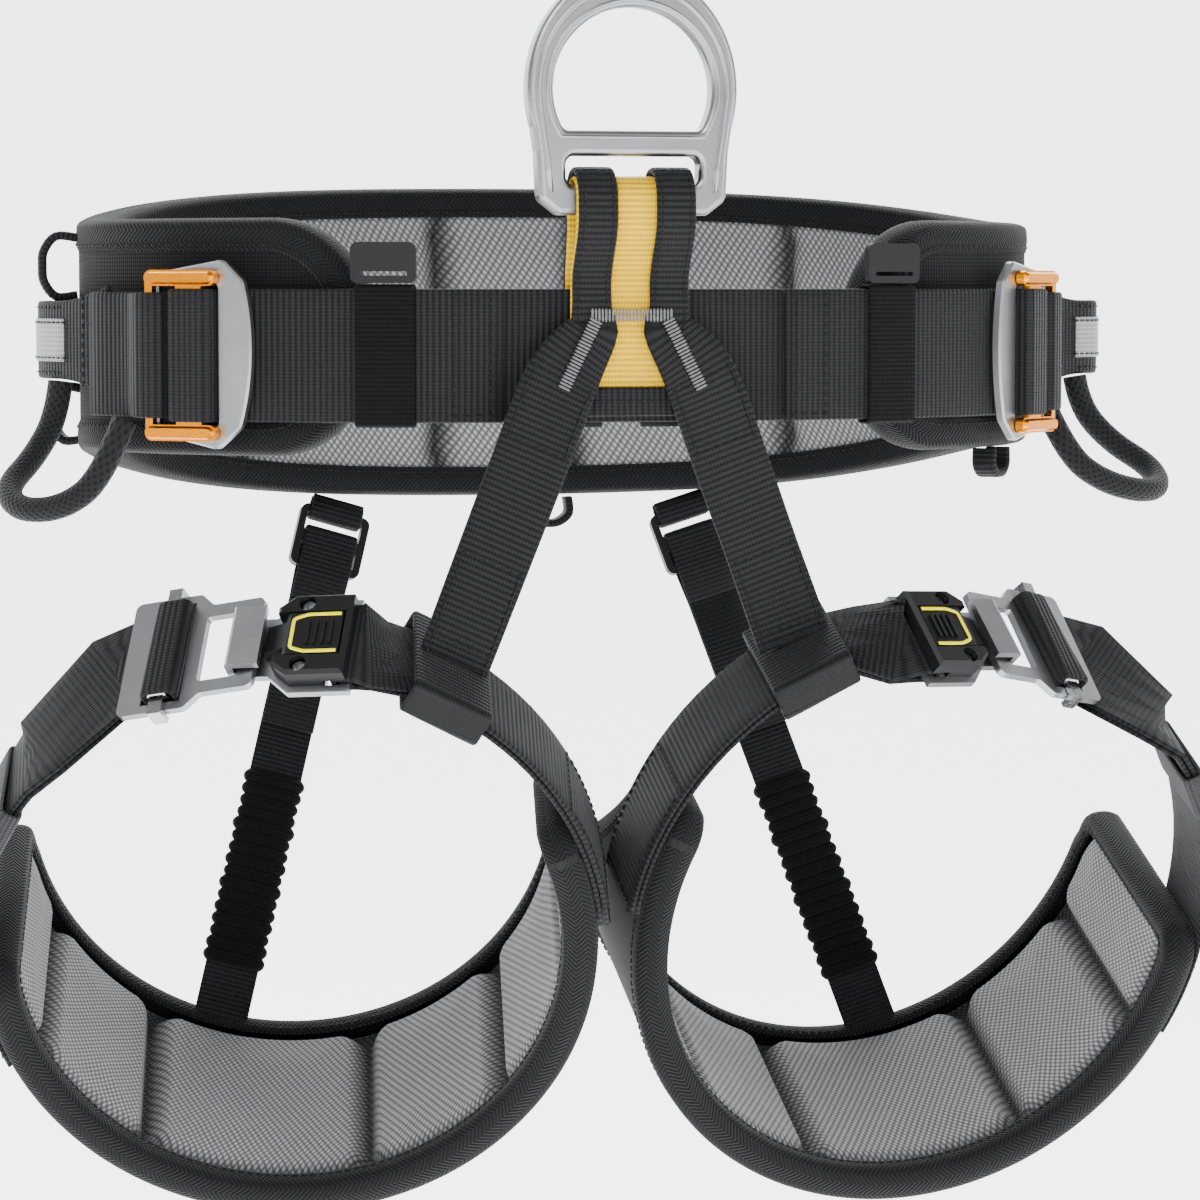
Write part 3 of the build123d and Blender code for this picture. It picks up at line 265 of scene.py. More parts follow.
def leg_at(side, phi, radial=0.0, along=0.0):
    """A point on a leg loop: phi from its top towards the inside of the thigh."""
    across, up, thigh = leg_axes(side)
    a = radians(phi)
    x = -OUT[side] * (LEG_R + radial) * sin(a)
    y = LEG_RISE[side] * (LEG_R + radial) * cos(a)
    return Vector(LEG_C[side]) + across * x + up * y + thigh * along


for side in SIDES:
    print(side, "leg axes", [[round(c, 3) for c in v] for v in leg_axes(side)])

# %% [markdown]
# ## Materials
# Webbing, tape, mesh and elastic are all woven, so one recipe serves them: a height made from waves
# along and across the cloth, which drives both the bump and the colour. The weave is the cloth's own, but
# its colour is painted: darker in the hollows as painted shade, paler on the tops as a painted highlight.
# The waves read the piece's own UV map, which is in millimetres along and across the webbing, so the ribs
# turn with the strap. Metals and plastics read Object coordinates instead, because the parts that come
# from the frame have no such map.

# %% A shader to start from
STAINS, CLOUDS = 38.0, 60.0      # spots to the metre


def new_material(name, roughness, metallic=0.0, sheen=0.0):
    """A material with one shader. Its steady values are set on the shader itself. Cloth has sheen, and
    little gloss, because its threads scatter the light among themselves."""
    made = bpy.data.materials.new(name)
    made.use_nodes = True
    shader = made.node_tree.nodes["Principled BSDF"]
    shader.inputs["Roughness"].default_value = roughness
    shader.inputs["Metallic"].default_value = metallic
    if sheen:
        shader.inputs["Specular IOR Level"].default_value = 0.1
        shader.inputs["Sheen Weight"].default_value = sheen
        shader.inputs["Sheen Roughness"].default_value = 0.5
    return made, made.node_tree, shader


def scaled(tree, value, factor, offset):
    """value * factor + offset."""
    return node(tree, "ShaderNodeMath", {0: value, 1: factor, 2: offset}, operation="MULTIPLY_ADD").outputs[0]


def wave(tree, place, pitch):
    """A wave from 0 to 1 that repeats every pitch millimetres."""
    turn = node(tree, "ShaderNodeMath", {0: place, 1: 2 * pi / pitch}, operation="MULTIPLY")
    swing = node(tree, "ShaderNodeMath", {0: turn.outputs[0]}, operation="SINE")
    return scaled(tree, swing.outputs[0], 0.5, 0.5)


def combine(tree, a, b, operation):
    return node(tree, "ShaderNodeMath", {0: a, 1: b}, operation=operation).outputs[0]


def cloth_places(tree):
    """Along and across the cloth, in millimetres."""
    uv = node(tree, "ShaderNodeUVMap", uv_map="pattern")
    split = node(tree, "ShaderNodeSeparateXYZ", {0: uv.outputs["UV"]})
    return split.outputs["X"], split.outputs["Y"]


def noise(tree, scale, detail):
    """Noise that stays with the object, of scale spots to the metre."""
    place = node(tree, "ShaderNodeTexCoord").outputs["Object"]
    return node(tree, "ShaderNodeTexNoise", {"Vector": place, "Scale": scale, "Detail": detail}).outputs[0]


def emboss(tree, shader, height, depth, strength=1.0):
    """Bump from a height, depth millimetres deep."""
    bump = node(tree, "ShaderNodeBump", {"Height": height, "Distance": depth * MM, "Strength": strength})
    tree.links.new(bump.outputs[0], shader.inputs["Normal"])


def paint(tree, shader, height, low, high, depth, wear=0.12, painted_shade=None):
    """Colour and bump from a height, with slow stains so that no stretch is quite like the next. On cloth the
    low colour in the hollows is painted shade and the high colour on the tops is a painted highlight. The
    last argument is painted shade where a lining is drawn into its seams: a share that darkens the colour
    further."""
    ramp = node(tree, "ShaderNodeMix", {0: height, 6: colour(low), 7: colour(high)}, data_type="RGBA")
    stains_and_shade = scaled(tree, noise(tree, STAINS, 4.0), 2 * wear, 1 - wear)
    # painted shade in the seams of a lining darkens the colour further
    if painted_shade:
        stains_and_shade = combine(tree, stains_and_shade, painted_shade, "MULTIPLY")
    mixed = node(tree, "ShaderNodeVectorMath", {0: ramp.outputs[2], 3: stains_and_shade}, operation="SCALE")
    tree.links.new(mixed.outputs[0], shader.inputs["Base Color"])
    emboss(tree, shader, height, depth)


# %% Woven materials
def ribbed_webbing(name, low, high, pitch, sheen, roughness=0.62):
    """Polyester webbing: heavy ribs across the strap, each a row of fine threads."""
    made, tree, shader = new_material(name, roughness, sheen=sheen)
    along, across = cloth_places(tree)
    rib = wave(tree, along, pitch)
    thread = wave(tree, across, 1.15)
    cord = node(tree, "ShaderNodeMath", {0: rib, 1: 0.7}, operation="POWER").outputs[0]
    height = scaled(tree, cord, 0.74, combine(tree, thread, 0.28, "MULTIPLY"))
    paint(tree, shader, height, low, high, 0.42)
    return made


# in each woven material the first colour is painted shade in the hollows, the second a painted highlight on
# the tops
black_webbing = ribbed_webbing("black_polyester_webbing", "#010101", "#1d1d1f", 2.1, 0.04)
fine_webbing = ribbed_webbing("black_narrow_webbing", "#010101", "#18181a", 1.7, 0.04)
yellow_webbing = ribbed_webbing("yellow_polyester_webbing", "#a88500", "#deb000", 1.9, 0.001)
elastic_knit = ribbed_webbing("black_knitted_elastic", "#010101", "#080809", 1.5, 0.02, 0.8)


def twill(name, low, high, pitch, band):
    """Herringbone tape: slanted threads that change direction from band to band."""
    made, tree, shader = new_material(name, 0.78, sheen=0.06)
    along, across = cloth_places(tree)
    fold = node(tree, "ShaderNodeMath", {0: across, 1: band}, operation="PINGPONG").outputs[0]
    slant = combine(tree, along, fold, "ADD")
    height = wave(tree, slant, pitch)
    paint(tree, shader, height, low, high, 0.25)
    return made


binding_tape = twill("black_herringbone_tape", "#030303", "#131315", 1.8, 3.6)


def plain_weave(name, low, high, pitch, roughness, sheen):
    """Plain cloth: threads over and under, like a fine chequerboard."""
    made, tree, shader = new_material(name, roughness, sheen=sheen)
    along, across = cloth_places(tree)
    height = combine(tree, wave(tree, along, pitch), wave(tree, across, pitch), "MULTIPLY")
    paint(tree, shader, height, low, high, 0.2)
    return made


pad_cloth = plain_weave("black_nylon_cloth", "#060607", "#161618", 1.3, 0.8, 0.06)


def spacer_mesh(name, low, high):
    """Knitted spacer mesh: short slanted cells in staggered rows, over foam."""
    made, tree, shader = new_material(name, 0.85, sheen=0.1)
    along, across = cloth_places(tree)
    right = wave(tree, scaled(tree, across, 0.55, along), 2.7)
    left = wave(tree, scaled(tree, across, -0.9, along), 2.2)
    cell = combine(tree, right, left, "MULTIPLY")
    height = node(tree, "ShaderNodeMath", {0: cell, 1: 0.6}, operation="POWER").outputs[0]
    # the seam attribute darkens the mesh where it is drawn into a seam: painted shade
    painted_seam_shade = node(tree, "ShaderNodeAttribute", attribute_name="seam").outputs["Fac"]
    paint(tree, shader, height, low, high, 0.35, 0.08, painted_shade=scaled(tree, painted_seam_shade, -0.9, 1.0))
    return made


grey_mesh = spacer_mesh("grey_spacer_mesh", "#424345", "#949599")
reflective_tape = plain_weave("silver_reflective_tape", "#6c6e72", "#9b9da1", 1.6, 0.45, 0.0)
grey_thread = plain_weave("grey_bonded_thread", "#5c5d60", "#808184", 0.8, 0.6, 0.05)
grey_elastic = ribbed_webbing("grey_knitted_elastic", "#1a1b1d", "#303134", 1.4, 0.1, 0.8)
black_thread = plain_weave("black_bonded_thread", "#060606", "#1c1c1d", 0.8, 0.5, 0.05)

CORD_LENGTH, CORD_GIRTH = 117.0, 27.0


def braided_sheath(name, low, high):
    """The tubular sleeve of the gear loops: two sets of threads wound opposite ways. A curve's own map
    goes from 0 to 1 along it and round it, so it is stretched here to the cord's length and girth."""
    made, tree, shader = new_material(name, 0.66, sheen=0.08)
    split = node(tree, "ShaderNodeSeparateXYZ", {0: node(tree, "ShaderNodeTexCoord").outputs["UV"]})
    along = combine(tree, split.outputs["X"], CORD_LENGTH, "MULTIPLY")
    across = combine(tree, split.outputs["Y"], CORD_GIRTH, "MULTIPLY")
    height = combine(tree, wave(tree, combine(tree, along, across, "ADD"), CORD_GIRTH / 10),
                     wave(tree, combine(tree, along, across, "SUBTRACT"), CORD_GIRTH / 10), "MAXIMUM")
    paint(tree, shader, height, low, high, 0.35)
    return made


cord_sheath = braided_sheath("black_braided_sheath", "#050506", "#1a1a1c")

# %% [markdown]
# ## Metals and plastics
# The ring is forged aluminium, tumbled to a satin skin. The buckle plates and the leg buckles are
# stamped steel with the same soft shine. The rails are anodised orange. The moulded parts are nylon,
# with the fine grain that a spark-worn mould leaves.

# %% Metals and plastics


def satin_metal(name, tone, dark, roughness, grain):
    """Tumbled metal: fine grain in the roughness, faint clouds in the colour, soft dents in the surface."""
    made, tree, shader = new_material(name, roughness, metallic=1.0)
    clouds, grit = noise(tree, CLOUDS, 5.0), noise(tree, 1000 / grain, 2.0)
    tint = node(tree, "ShaderNodeMix", {0: clouds, 6: colour(dark), 7: colour(tone)}, data_type="RGBA")
    tree.links.new(tint.outputs[2], shader.inputs["Base Color"])
    tree.links.new(scaled(tree, grit, 0.22, roughness - 0.11), shader.inputs["Roughness"])
    emboss(tree, shader, grit, 0.06, 0.6)
    return made


def moulded(name, low, high, roughness, grain=0.9):
    """Moulded nylon: an even grain, with slightly paler high spots."""
    made, tree, shader = new_material(name, roughness)
    shader.inputs["Specular IOR Level"].default_value = 0.2
    paint(tree, shader, noise(tree, 1000 / grain, 3.0), low, high, 0.08, 0.06)
    return made


forged_aluminium = satin_metal("tumbled_aluminium", "#97999c", "#7b7d81", 0.33, 0.8)
stamped_steel = satin_metal("tumbled_steel", "#a0a2a5", "#86888b", 0.34, 0.7)
bright_steel = satin_metal("polished_steel", "#b9bbbe", "#a0a2a5", 0.2, 1.0)
orange_anodised = satin_metal("orange_anodised_aluminium", "#e89200", "#d88000", 0.3, 0.8)
black_nylon = moulded("black_moulded_nylon", "#040405", "#101011", 0.4)
grey_nylon = moulded("grey_moulded_nylon", "#08090a", "#101113", 0.6)
yellow_print = moulded("yellow_moulded_nylon", "#d9d000", "#f5ea00", 0.45)
pale_floor = moulded("pale_studio_paper", "#f4f4f4", "#fafafa", 0.9, 4.0)
paper = pale_floor.node_tree.nodes["Principled BSDF"]
paper.inputs["Emission Color"].default_value = colour("#ffffff")
paper.inputs["Emission Strength"].default_value = 2.8     # lit from behind, as studio paper often is


def repaint(name, material):
    """Give a part of the frame its material."""
    part = nodes[name]
    part.data.materials.clear()
    part.data.materials.append(material)


for side in SIDES:
    for part in ("latch_base", "strap_frame", "latch_spring"):
        repaint(part + "_" + side, stamped_steel)
    for part in ("latch_pin", "latch_screws", "slider_bar"):
        repaint(part + "_" + side, bright_steel)
    for part in ("latch_housing", "latch_lever", "ladder_lock"):
        repaint(part + "_" + side, black_nylon)
    repaint("buckle_plate_" + side, stamped_steel)
    repaint("buckle_slide_" + side, orange_anodised)
repaint("ventral_ring", forged_aluminium)
repaint("keeper_hooks", grey_nylon)

# %% [markdown]
# ## Webbing
# A strap is a flat band with slightly rounded edges. It could be a plane with thickness added, but then
# it would twist badly where it turns from one buckle into the next. Here each cut through the strap is
# given: a centre line, and at each of its points the direction across the strap.

# %% A strap along a line


def soften(line, reach, steps=4):
    """Round the corners of a line: each becomes a short bend that starts reach away from it."""
    rounded = [line[0]]
    for before, corner, after in zip(line, line[1:], line[2:]):
        cut_in = min(reach, (before - corner).length * 0.48)
        cut_out = min(reach, (after - corner).length * 0.48)
        p = corner + (before - corner).normalized() * cut_in
        q = corner + (after - corner).normalized() * cut_out
        for k in range(steps + 1):
            t = k / steps
            rounded.append(p * (1 - t) ** 2 + corner * 2 * t * (1 - t) + q * t * t)
    return rounded + [line[-1]]


def glide(values, steps=4):
    """A smooth line through points or directions (Catmull-Rom), with steps places between each pair."""
    smooth = []
    for i in range(len(values) - 1):
        p0, p1, p2 = values[max(i - 1, 0)], values[i], values[i + 1]
        p3 = values[min(i + 2, len(values) - 1)]
        for k in range(steps):
            t = k / steps
            smooth.append(0.5 * ((2 * p1) + (p2 - p0) * t + (2 * p0 - 5 * p1 + 4 * p2 - p3) * t * t
                                 + (3 * p1 - p0 - 3 * p2 + p3) * t ** 3))
    return smooth + [values[-1]]


def heading(line, i):
    """Which way an open line runs at its i-th point, as the step from the point before to the one after."""
    return line[min(i + 1, len(line) - 1)] - line[max(i - 1, 0)]


def strap_section(width, thickness):
    """Half widths and heights round a strap's cut, with rounded edges, and a shallow crown."""
    half, up = width / 2, thickness / 2
    edge = min(up, 0.9)
    top = [(-half + edge * 0.3, up * 0.62), (-half + edge, up * 0.93), (-half * 0.6, up), (0, up),
           (half * 0.6, up), (half - edge, up * 0.93), (half - edge * 0.3, up * 0.62)]
    return [(-half, 0)] + top + [(half, 0)] + [(x, -y) for x, y in reversed(top)]


def strap_mesh(line, across, width, thickness, closed=False):
    """Points, faces and pattern places of a strap. width may be a list, one for each point."""
    points, uv = [], []
    count = len(line)
    widths = width if isinstance(width, list) else [width] * count
    run = 0.0
    for i, at in enumerate(line):
        ahead = line[(i + 1) % count] if closed or i + 1 < count else line[i]
        back = line[i - 1] if closed or i else line[i]
        along = (ahead - back).normalized()
        side = across[i] if isinstance(across, list) else across
        side = (side - along * side.dot(along)).normalized()
        out = along.cross(side).normalized()
        if i:
            run += (at - line[i - 1]).length
        section = strap_section(widths[i], thickness)
        for x, y in section:
            points.append(at + side * x + out * y)
            uv.append((run, x))
    return points, ring_faces(count, len(section), closed), uv


def join_meshes(parts):
    """Several (points, faces, uv) as one."""
    points, faces, uv = [], [], []
    for p, f, u in parts:
        start = len(points)
        points += p
        uv += u
        faces += [tuple(i + start for i in face) for face in f]
    return points, faces, uv


def strap(name, straps, material, body, *replaced, slot="black_webbing"):
    """One piece from one or more straps, each (line, across, width, thickness)."""
    piece = closed_piece(name, join_meshes([strap_mesh(*each) for each in straps]), material)
    return finished(piece, body, slot, *replaced)


# %% Belt, with its folds and tails
BELT_WEB, WEB_T = 45.0, 1.8
BELT_OFF, TAIL_OFF = 3.5, 5.5          # middle of the belt and of its tail, off the pad
BUCKLE_ANGLE = {"left": -141.0, "right": -31.5}
BUCKLE_OFF, FOLD_END = 7.2, 4.7
TAIL_END = {"left": -104.5, "right": -72.5}
FOLD_MID = 7.3
FOLD = [(7.4, -1.5), (5.4, 0.4), (5.4, FOLD_MID - 0.9), (4.2, FOLD_MID), (-7.2, FOLD_MID), (-9.0, 6.0),
        (-9.0, 3.6), (-7.4, 2.0), (-4.0, 1.2), (-0.5, -3.3), (7.0, -3.9)]


def buckle_line(side, points):
    """Points beside a buckle: x towards the front of the belt, y off the buckle's underside."""
    centre, n = waist_at(BUCKLE_ANGLE[side], BUCKLE_OFF), waist_out(BUCKLE_ANGLE[side])
    forward = UP.cross(n) * -OUT[side]
    return [centre + forward * x + n * y for x, y in points]


def belt_arc(start, end, off, step=2.0):
    count = max(2, int(abs(end - start) / step))
    return [waist_at(start + (end - start) * i / count, off) for i in range(count + 1)]


left_fold = soften(buckle_line("left", FOLD), 1.5)
right_fold = soften(list(reversed(buckle_line("right", FOLD))), 1.5)
belt_line = (belt_arc(TAIL_END["left"], BUCKLE_ANGLE["left"] + FOLD_END + 0.8, TAIL_OFF) + left_fold
             + belt_arc(BUCKLE_ANGLE["left"] + FOLD_END, BUCKLE_ANGLE["right"] - FOLD_END, BELT_OFF)
             + right_fold
             + belt_arc(BUCKLE_ANGLE["right"] - FOLD_END - 0.8, TAIL_END["right"], TAIL_OFF))
strap("belt_webbing", [(belt_line, UP, BELT_WEB - 0.6, WEB_T)], black_webbing, "harness",
      "front_belt", "belt_folds", "belt_tails")

# %% Side straps, round the rear post of each buckle
OVER_TAB = {"left": [(-49, -10.9), (-42.2, -8.0)], "right": [(-49, -7.2), (-41, -7.8)]}
POST = [(-34, -5.6), (-29, -3.4), (-24.5, 3.6), (-20.6, FOLD_MID - 0.4), (-13.6, FOLD_MID), (-11.6, 5.6),
        (-11.6, 1.4), (-13.6, -1.3), (-21, -1.6), (-26, -3.2)]
strap("side_strap_webbing",
      [(soften(buckle_line(side, OVER_TAB[side] + POST), 2.2), UP, BELT_WEB - 3, WEB_T) for side in SIDES],
      black_webbing, "harness", "side_straps")

# %% [markdown]
# ## Side tabs
# Each tab is sewn to the pad beside the buckle, stands off it as a loop for the spare tail and comes back
# behind. It starts as wide as the belt and narrows to 27 mm. The silver tape lies on its outer face.

# %% Side tabs and their reflective tape
TAB_LINE = {"left": [(-160, 4.8), (-168, 6.5), (-180, 12), (-188, 12), (-200, 6.0), (-210, 1.9), (-217, 1.7)],
            "right": [(-12, 5.5), (-6, 15), (-1, 29), (4, 30.5), (15, 14.5), (27, 1.9), (34, 1.7)]}
TAB_Z, TAB_T, TAB_H = 4.5, 2.4, 27.0


def between(a, b, share):
    return a * (1 - share) + b * share


tabs, bands = [], []
for side in SIDES:
    line = glide([waist_at(a, o, TAB_Z) for a, o in TAB_LINE[side]], 6)
    widths = [TAB_H + 12.0 * max(0.0, 1 - i / 9) ** 1.5 for i in range(len(line))]
    tabs.append((line, UP, widths, TAB_T))
    middle = line[8:19]
    lifted = []
    for i, p in enumerate(middle):
        out = heading(middle, i).cross(UP).normalized()
        if out.dot(Vector((p.x, p.y, 0))) < 0:
            out = -out
        lifted.append(p + out * (TAB_T / 2 + 0.35))
    bands.append((lifted, UP, TAB_H * 0.55, 0.6))
strap("side_tab_webbing", tabs, black_webbing, "harness", "side_tabs")
strap("reflective_tape", bands, reflective_tape, "harness", "reflective_bands", slot="reflective_tape")

# %% Elastic keepers on the belt
KEEPER_ANGLE = {"left": -117.6, "right": -58.0}
KEEPER_W = 20.0


def ring_line(place, half, reach, corner):
    """A closed line round a flat box, with round corners: y across it and z out of it."""
    line = []
    for cy, cz, turn in ((half, reach, 0), (-half, reach, 90), (-half, -reach, 180), (half, -reach, 270)):
        y0, z0 = cy - corner * (1 if cy > 0 else -1), cz - corner * (1 if cz > 0 else -1)
        for k in range(4):
            a = radians(turn + 30 * k)
            line.append(place @ Vector((0, y0 + corner * cos(a), z0 + corner * sin(a))))
    return line


keepers = []
for side in SIDES:
    place = waist_plane(KEEPER_ANGLE[side], 4.5)
    keepers.append((ring_line(place, 23.3, 3.1, 1.6), place.col[0].to_3d(), KEEPER_W, 1.0, True))
strap("keeper_elastic", keepers, elastic_knit, "harness", "belt_keepers", slot="elastic")

# %% Small loops for accessories


def small_loop(place, reach, length, web):
    """A flat loop standing out of the pad. place has x along the loop's foot and y outwards."""
    half = length / 2
    outline = [(-half, 0), (-half * 1.05, reach * 0.6), (-half * 0.55, reach * 0.95), (0, reach),
               (half * 0.55, reach * 0.95), (half * 1.05, reach * 0.6), (half, 0)]
    line = glide([place @ Vector((x, y, 0)) for x, y in outline], 4)
    return line, place.col[2].to_3d(), web, 3.0


def upright_loop(angle, off, z):
    n = waist_out(angle)
    return plane(waist_at(angle, off, z), -UP, (-UP).cross(n))


loops = [small_loop(upright_loop(178, 0.6, 30), 12.0, 20.0, 9.0),
         small_loop(upright_loop(169, 0.6, -22), 10.0, 18.0, 9.0),
         small_loop(waist_plane(-27, -6.0, -34.5), -9.0, 13.0, 9.0),
         small_loop(waist_plane(84, -6.0, -57.6), -10.0, 16.0, 10.0)]
strap("accessory_webbing", loops, fine_webbing, "harness", "accessory_loops")

# %% [markdown]
# ## Bridge and front straps
# The ring hangs on a bridge of yellow webbing. A black strap lies on either side of it, goes round the
# ring's lower bar with it, and then widens and crosses to the leg loop. Only the yellow middle shows.

# %% Bridge of yellow webbing
FRONT_X, RING_Y, BAR_Z, LOOP_IN = -2.0, -113.0, 51.5, 6.3
BACKING_T, STRAP_T, BRIDGE_W, BRIDGE_SPLIT = 1.6, 2.6, 40.0, 6.5


def bridge_line(x, radius, front, back, low_front, low_back):
    """Up in front of the belt, round the ring's bar and down behind the belt."""
    bar = -RING_Y
    spots = [(front, low_front), (front, 18.0), (front + 0.3, 27.0), (bar + radius - 0.6, BAR_Z - 10)]
    spots += [(bar + radius * cos(a), BAR_Z + radius * sin(a)) for a in [pi * k / 12 for k in range(13)]]
    spots += [(bar - radius + 0.6, BAR_Z - 10), (back, 27.0), (back, 10.0), (back, low_back)]
    return [Vector((x, -forward, z)) for forward, z in spots]


backing = bridge_line(FRONT_X, LOOP_IN + 0.8, 110.8, 103.2, -18.0, -20.0)
strap("bridge_webbing", [(backing, Vector((1, 0, 0)), BRIDGE_W, BACKING_T)], yellow_webbing, "harness",
      "ventral_backing", slot="yellow_webbing")

# %% Front straps, which cross from the bridge to the leg loops
WRAP_IN, WRAP_OUT = 0.2, 5.6
MID_ALONG = -LEG_WEB / 2 - 2.0


def leg_run(side):
    return (leg_at(side, WRAP_AT - 2) - leg_at(side, WRAP_AT + 2)).normalized() * OUT[side]


front_lines, front_bend = {}, {}
for side in SIDES:
    out = OUT[side]
    centre = FRONT_X + out * (BRIDGE_W / 2 + BRIDGE_SPLIT) / 2
    top = leg_at(side, WRAP_AT, WRAP_OUT + STRAP_T + 1.0, MID_ALONG)
    knee = Vector((FRONT_X + out * 24, -115, -8))
    down = list(reversed(bridge_line(centre, 9.7, 113.4, 100.6, 12.0, -24.0)))
    cross = [Vector((centre, -113.8, 8)), knee, between(knee, top, 0.33), between(knee, top, 0.66), top]
    line = down + cross
    x = Vector((1, 0, 0))
    turns = [x] * len(down) + [x, Vector((0.95, 0, out * 0.2)), Vector((0.94, 0, out * 0.28)),
                               Vector((0.93, 0, out * 0.36)), leg_run(side)]
    widths = [13.5] * (len(down) - 1) + [14.5, 18.0, 25.2, 25.8, 25.4, 25.2]
    line, turns, widths = glide(line, 4), glide(turns, 4), glide([Vector((w, 0, 0)) for w in widths], 4)
    widths = [w.x for w in widths]
    front_lines[side], front_bend[side] = (line, turns, widths), (knee, top)
    piece = closed_piece("front_webbing_" + side, strap_mesh(line, turns, widths, STRAP_T), black_webbing)
    bending(piece, side, knee, top, "black_webbing", "front_strap_" + side)

# %% The sleeves where they are sewn round the leg webbing
for side in SIDES:
    near, far = -0.4, -LEG_WEB - 3.6
    low, high = WRAP_IN - 1.0, WRAP_OUT + 1.0
    section = []
    corners = ((near - 0.6, high, 0), (far + 0.6, high, 90), (far + 0.6, low, 180), (near - 0.6, low, 270))
    for a, r, turn in corners:
        for k in range(4):
            t = radians(turn + 30 * k)
            section.append((a + 1.8 * cos(t), r + 1.44 * sin(t)))
    mid_line = [leg_at(side, WRAP_AT, r, a) for a, r in section]
    strap("wrap_webbing_" + side, [(mid_line, leg_run(side), 2 * radians(WRAP_HALF) * LEG_R, STRAP_T, True)],
          black_webbing, "leg_" + side, "strap_wrap_" + side)

# %% [markdown]
# ## Leg webbing
# The inner strap comes off the pad, goes through the slot of the latch and back along itself. The outer
# strap turns round the slider bar in its frame, and its tail lies under it, held by an elastic band.

# %% Places beside the leg buckles
LATCH_AT = {"left": (-109.5, -128.0, -95.0), "right": (103.0, -116.0, -98.0)}
LATCH_RUN = {"left": (-0.89, 0.45, -0.05), "right": (0.90, 0.43, -0.05)}
FRAME_RUN = {"left": (-0.81, 0.555, -0.17), "right": (0.87, 0.455, -0.18)}
ACROSS = {"left": Vector((-0.26, -0.58, -0.77)), "right": Vector((0.26, -0.58, -0.77))}
HOOK_X, JAW_MID = -22.0, 5.15


def run_plane(origin, run, across):
    """A buckle's axes: x from the frame towards the latch, z outwards."""
    x = -Vector(run).normalized()
    n = x.cross(across)
    return plane(origin, x, n if n.z > 0 else -n)


latch_place = {s: run_plane(Vector(LATCH_AT[s]), LATCH_RUN[s], ACROSS[s]) for s in SIDES}
frame_place = {}
for s in SIDES:
    hook = latch_place[s] @ Vector((HOOK_X, 0, JAW_MID))
    frame_place[s] = run_plane(hook, FRAME_RUN[s], ACROSS[s])


def mixed(a, b, share):
    return (a.normalized() * (1 - share) + b.normalized() * share).normalized()


# %% Inner and outer leg straps
leg_lines = {}
for side in SIDES:
    latch, frame_at = latch_place[side], frame_place[side]
    ring_across = -leg_axes(side)[2]
    if ring_across.dot(ACROSS[side]) < 0:
        ring_across = -ring_across
    phis = [84 - 3.5 * k for k in range(18)] + [20.5]
    low = [leg_at(side, p, 1.9, MID_ALONG) for p in phis]
    high = [leg_at(side, p, 3.9, MID_ALONG) for p in reversed(phis)]
    slot_turn = [(16.5, 0.3), (13.6, -1.2), (8.6, -1.2), (7.1, -0.3), (7.1, 2.9), (8.6, 3.8), (13.6, 3.7),
                 (16.5, 2.3)]
    through = [latch @ Vector((x, 0, z)) for x, z in slot_turn]
    inner = low + through + high
    wide = [LEG_WEB] * (len(low) - 1) + [35.0] + [30.0] * len(through) + [35.0] + [LEG_WEB] * (len(high) - 1)
    turns = [ring_across] * len(low) + [ACROSS[side].normalized()] * len(through) + [ring_across] * len(high)
    strap("leg_inner_webbing_" + side, [(inner, turns, wide, 1.8)], black_webbing, "leg_" + side,
          "leg_strap_inner_" + side)
    phis = [-50 - 4 * k for k in range(17)]
    shares = [0.65, 0.52, 0.4, 0.3, 0.2, 0.12, 0.05] + [0.0] * 10
    leg_turns = [mixed(ring_across, ACROSS[side], s) for s in shares]
    main = [leg_at(side, p, 1.5, MID_ALONG) for p in phis]
    tail = [leg_at(side, p, 3.5, MID_ALONG) for p in phis[:11]]
    turn = [(-51.6, -5.25), (-44.6, -4.45), (-34, -4.45), (-25.6, -4.45), (-24.0, -2.85), (-24.0, 4.3),
            (-25.3, 5.45), (-33.4, 5.45), (-34.8, 4.1), (-34.8, -0.9), (-36.4, -2.45), (-44.6, -2.45),
            (-51.6, -3.25)]
    buckle = soften([frame_at @ Vector((x, 0, z)) for x, z in turn], 1.6)
    outer = list(reversed(main)) + buckle + tail
    turns = list(reversed(leg_turns)) + [ACROSS[side].normalized()] * len(buckle) + leg_turns[:11]
    strap("leg_outer_webbing_" + side, [(outer, turns, LEG_WEB - 1, 1.8)], black_webbing, "leg_" + side,
          "leg_strap_outer_" + side)
    leg_lines[side] = (main, tail, leg_turns, high)

# %% Elastic keeper on each leg
for side in SIDES:
    at, ahead = leg_at(side, -63, 2.5, MID_ALONG), leg_at(side, -60, 2.5, MID_ALONG)
    run = (ahead - at).normalized()
    across = mixed(-leg_axes(side)[2], ACROSS[side], 0.28)
    n = run.cross(across)
    place = plane(at, run, n if n.z > 0 else -n)
    strap("leg_keeper_elastic_" + side, [(ring_line(place, 20.0, 3.4, 2.2), run, 18.0, 1.3, True)],
          grey_elastic, "leg_" + side, "leg_keeper_" + side, slot="elastic")

# %% [markdown]
# ## Risers
# Behind, a strap goes up from each leg loop to a ladder lock that hangs on the waist pad. Ruched elastic
# covers its lower half: webbing sewn into a longer sleeve, which gathers into small folds.

# %% Places of the ladder locks
LOCK_AT = {"left": Vector((-69, 88, -73)), "right": Vector((72, 88, -73))}
RISER_PHI = {"left": -163.0, "right": -168.0}
ANCHOR_TOP = -58.3
riser_feet, lock_place = {}, {}
for side in SIDES:
    foot = leg_at(side, RISER_PHI[side], -12.2, -LEG_PAD_W[side] + 5)
    up = (LOCK_AT[side] - foot).normalized()
    x = -up.cross(Vector((0, 1, 0))).normalized()
    x = x if x.x > 0 else -x
    riser_feet[side] = foot
    lock_place[side] = plane(LOCK_AT[side], x, x.cross(up))
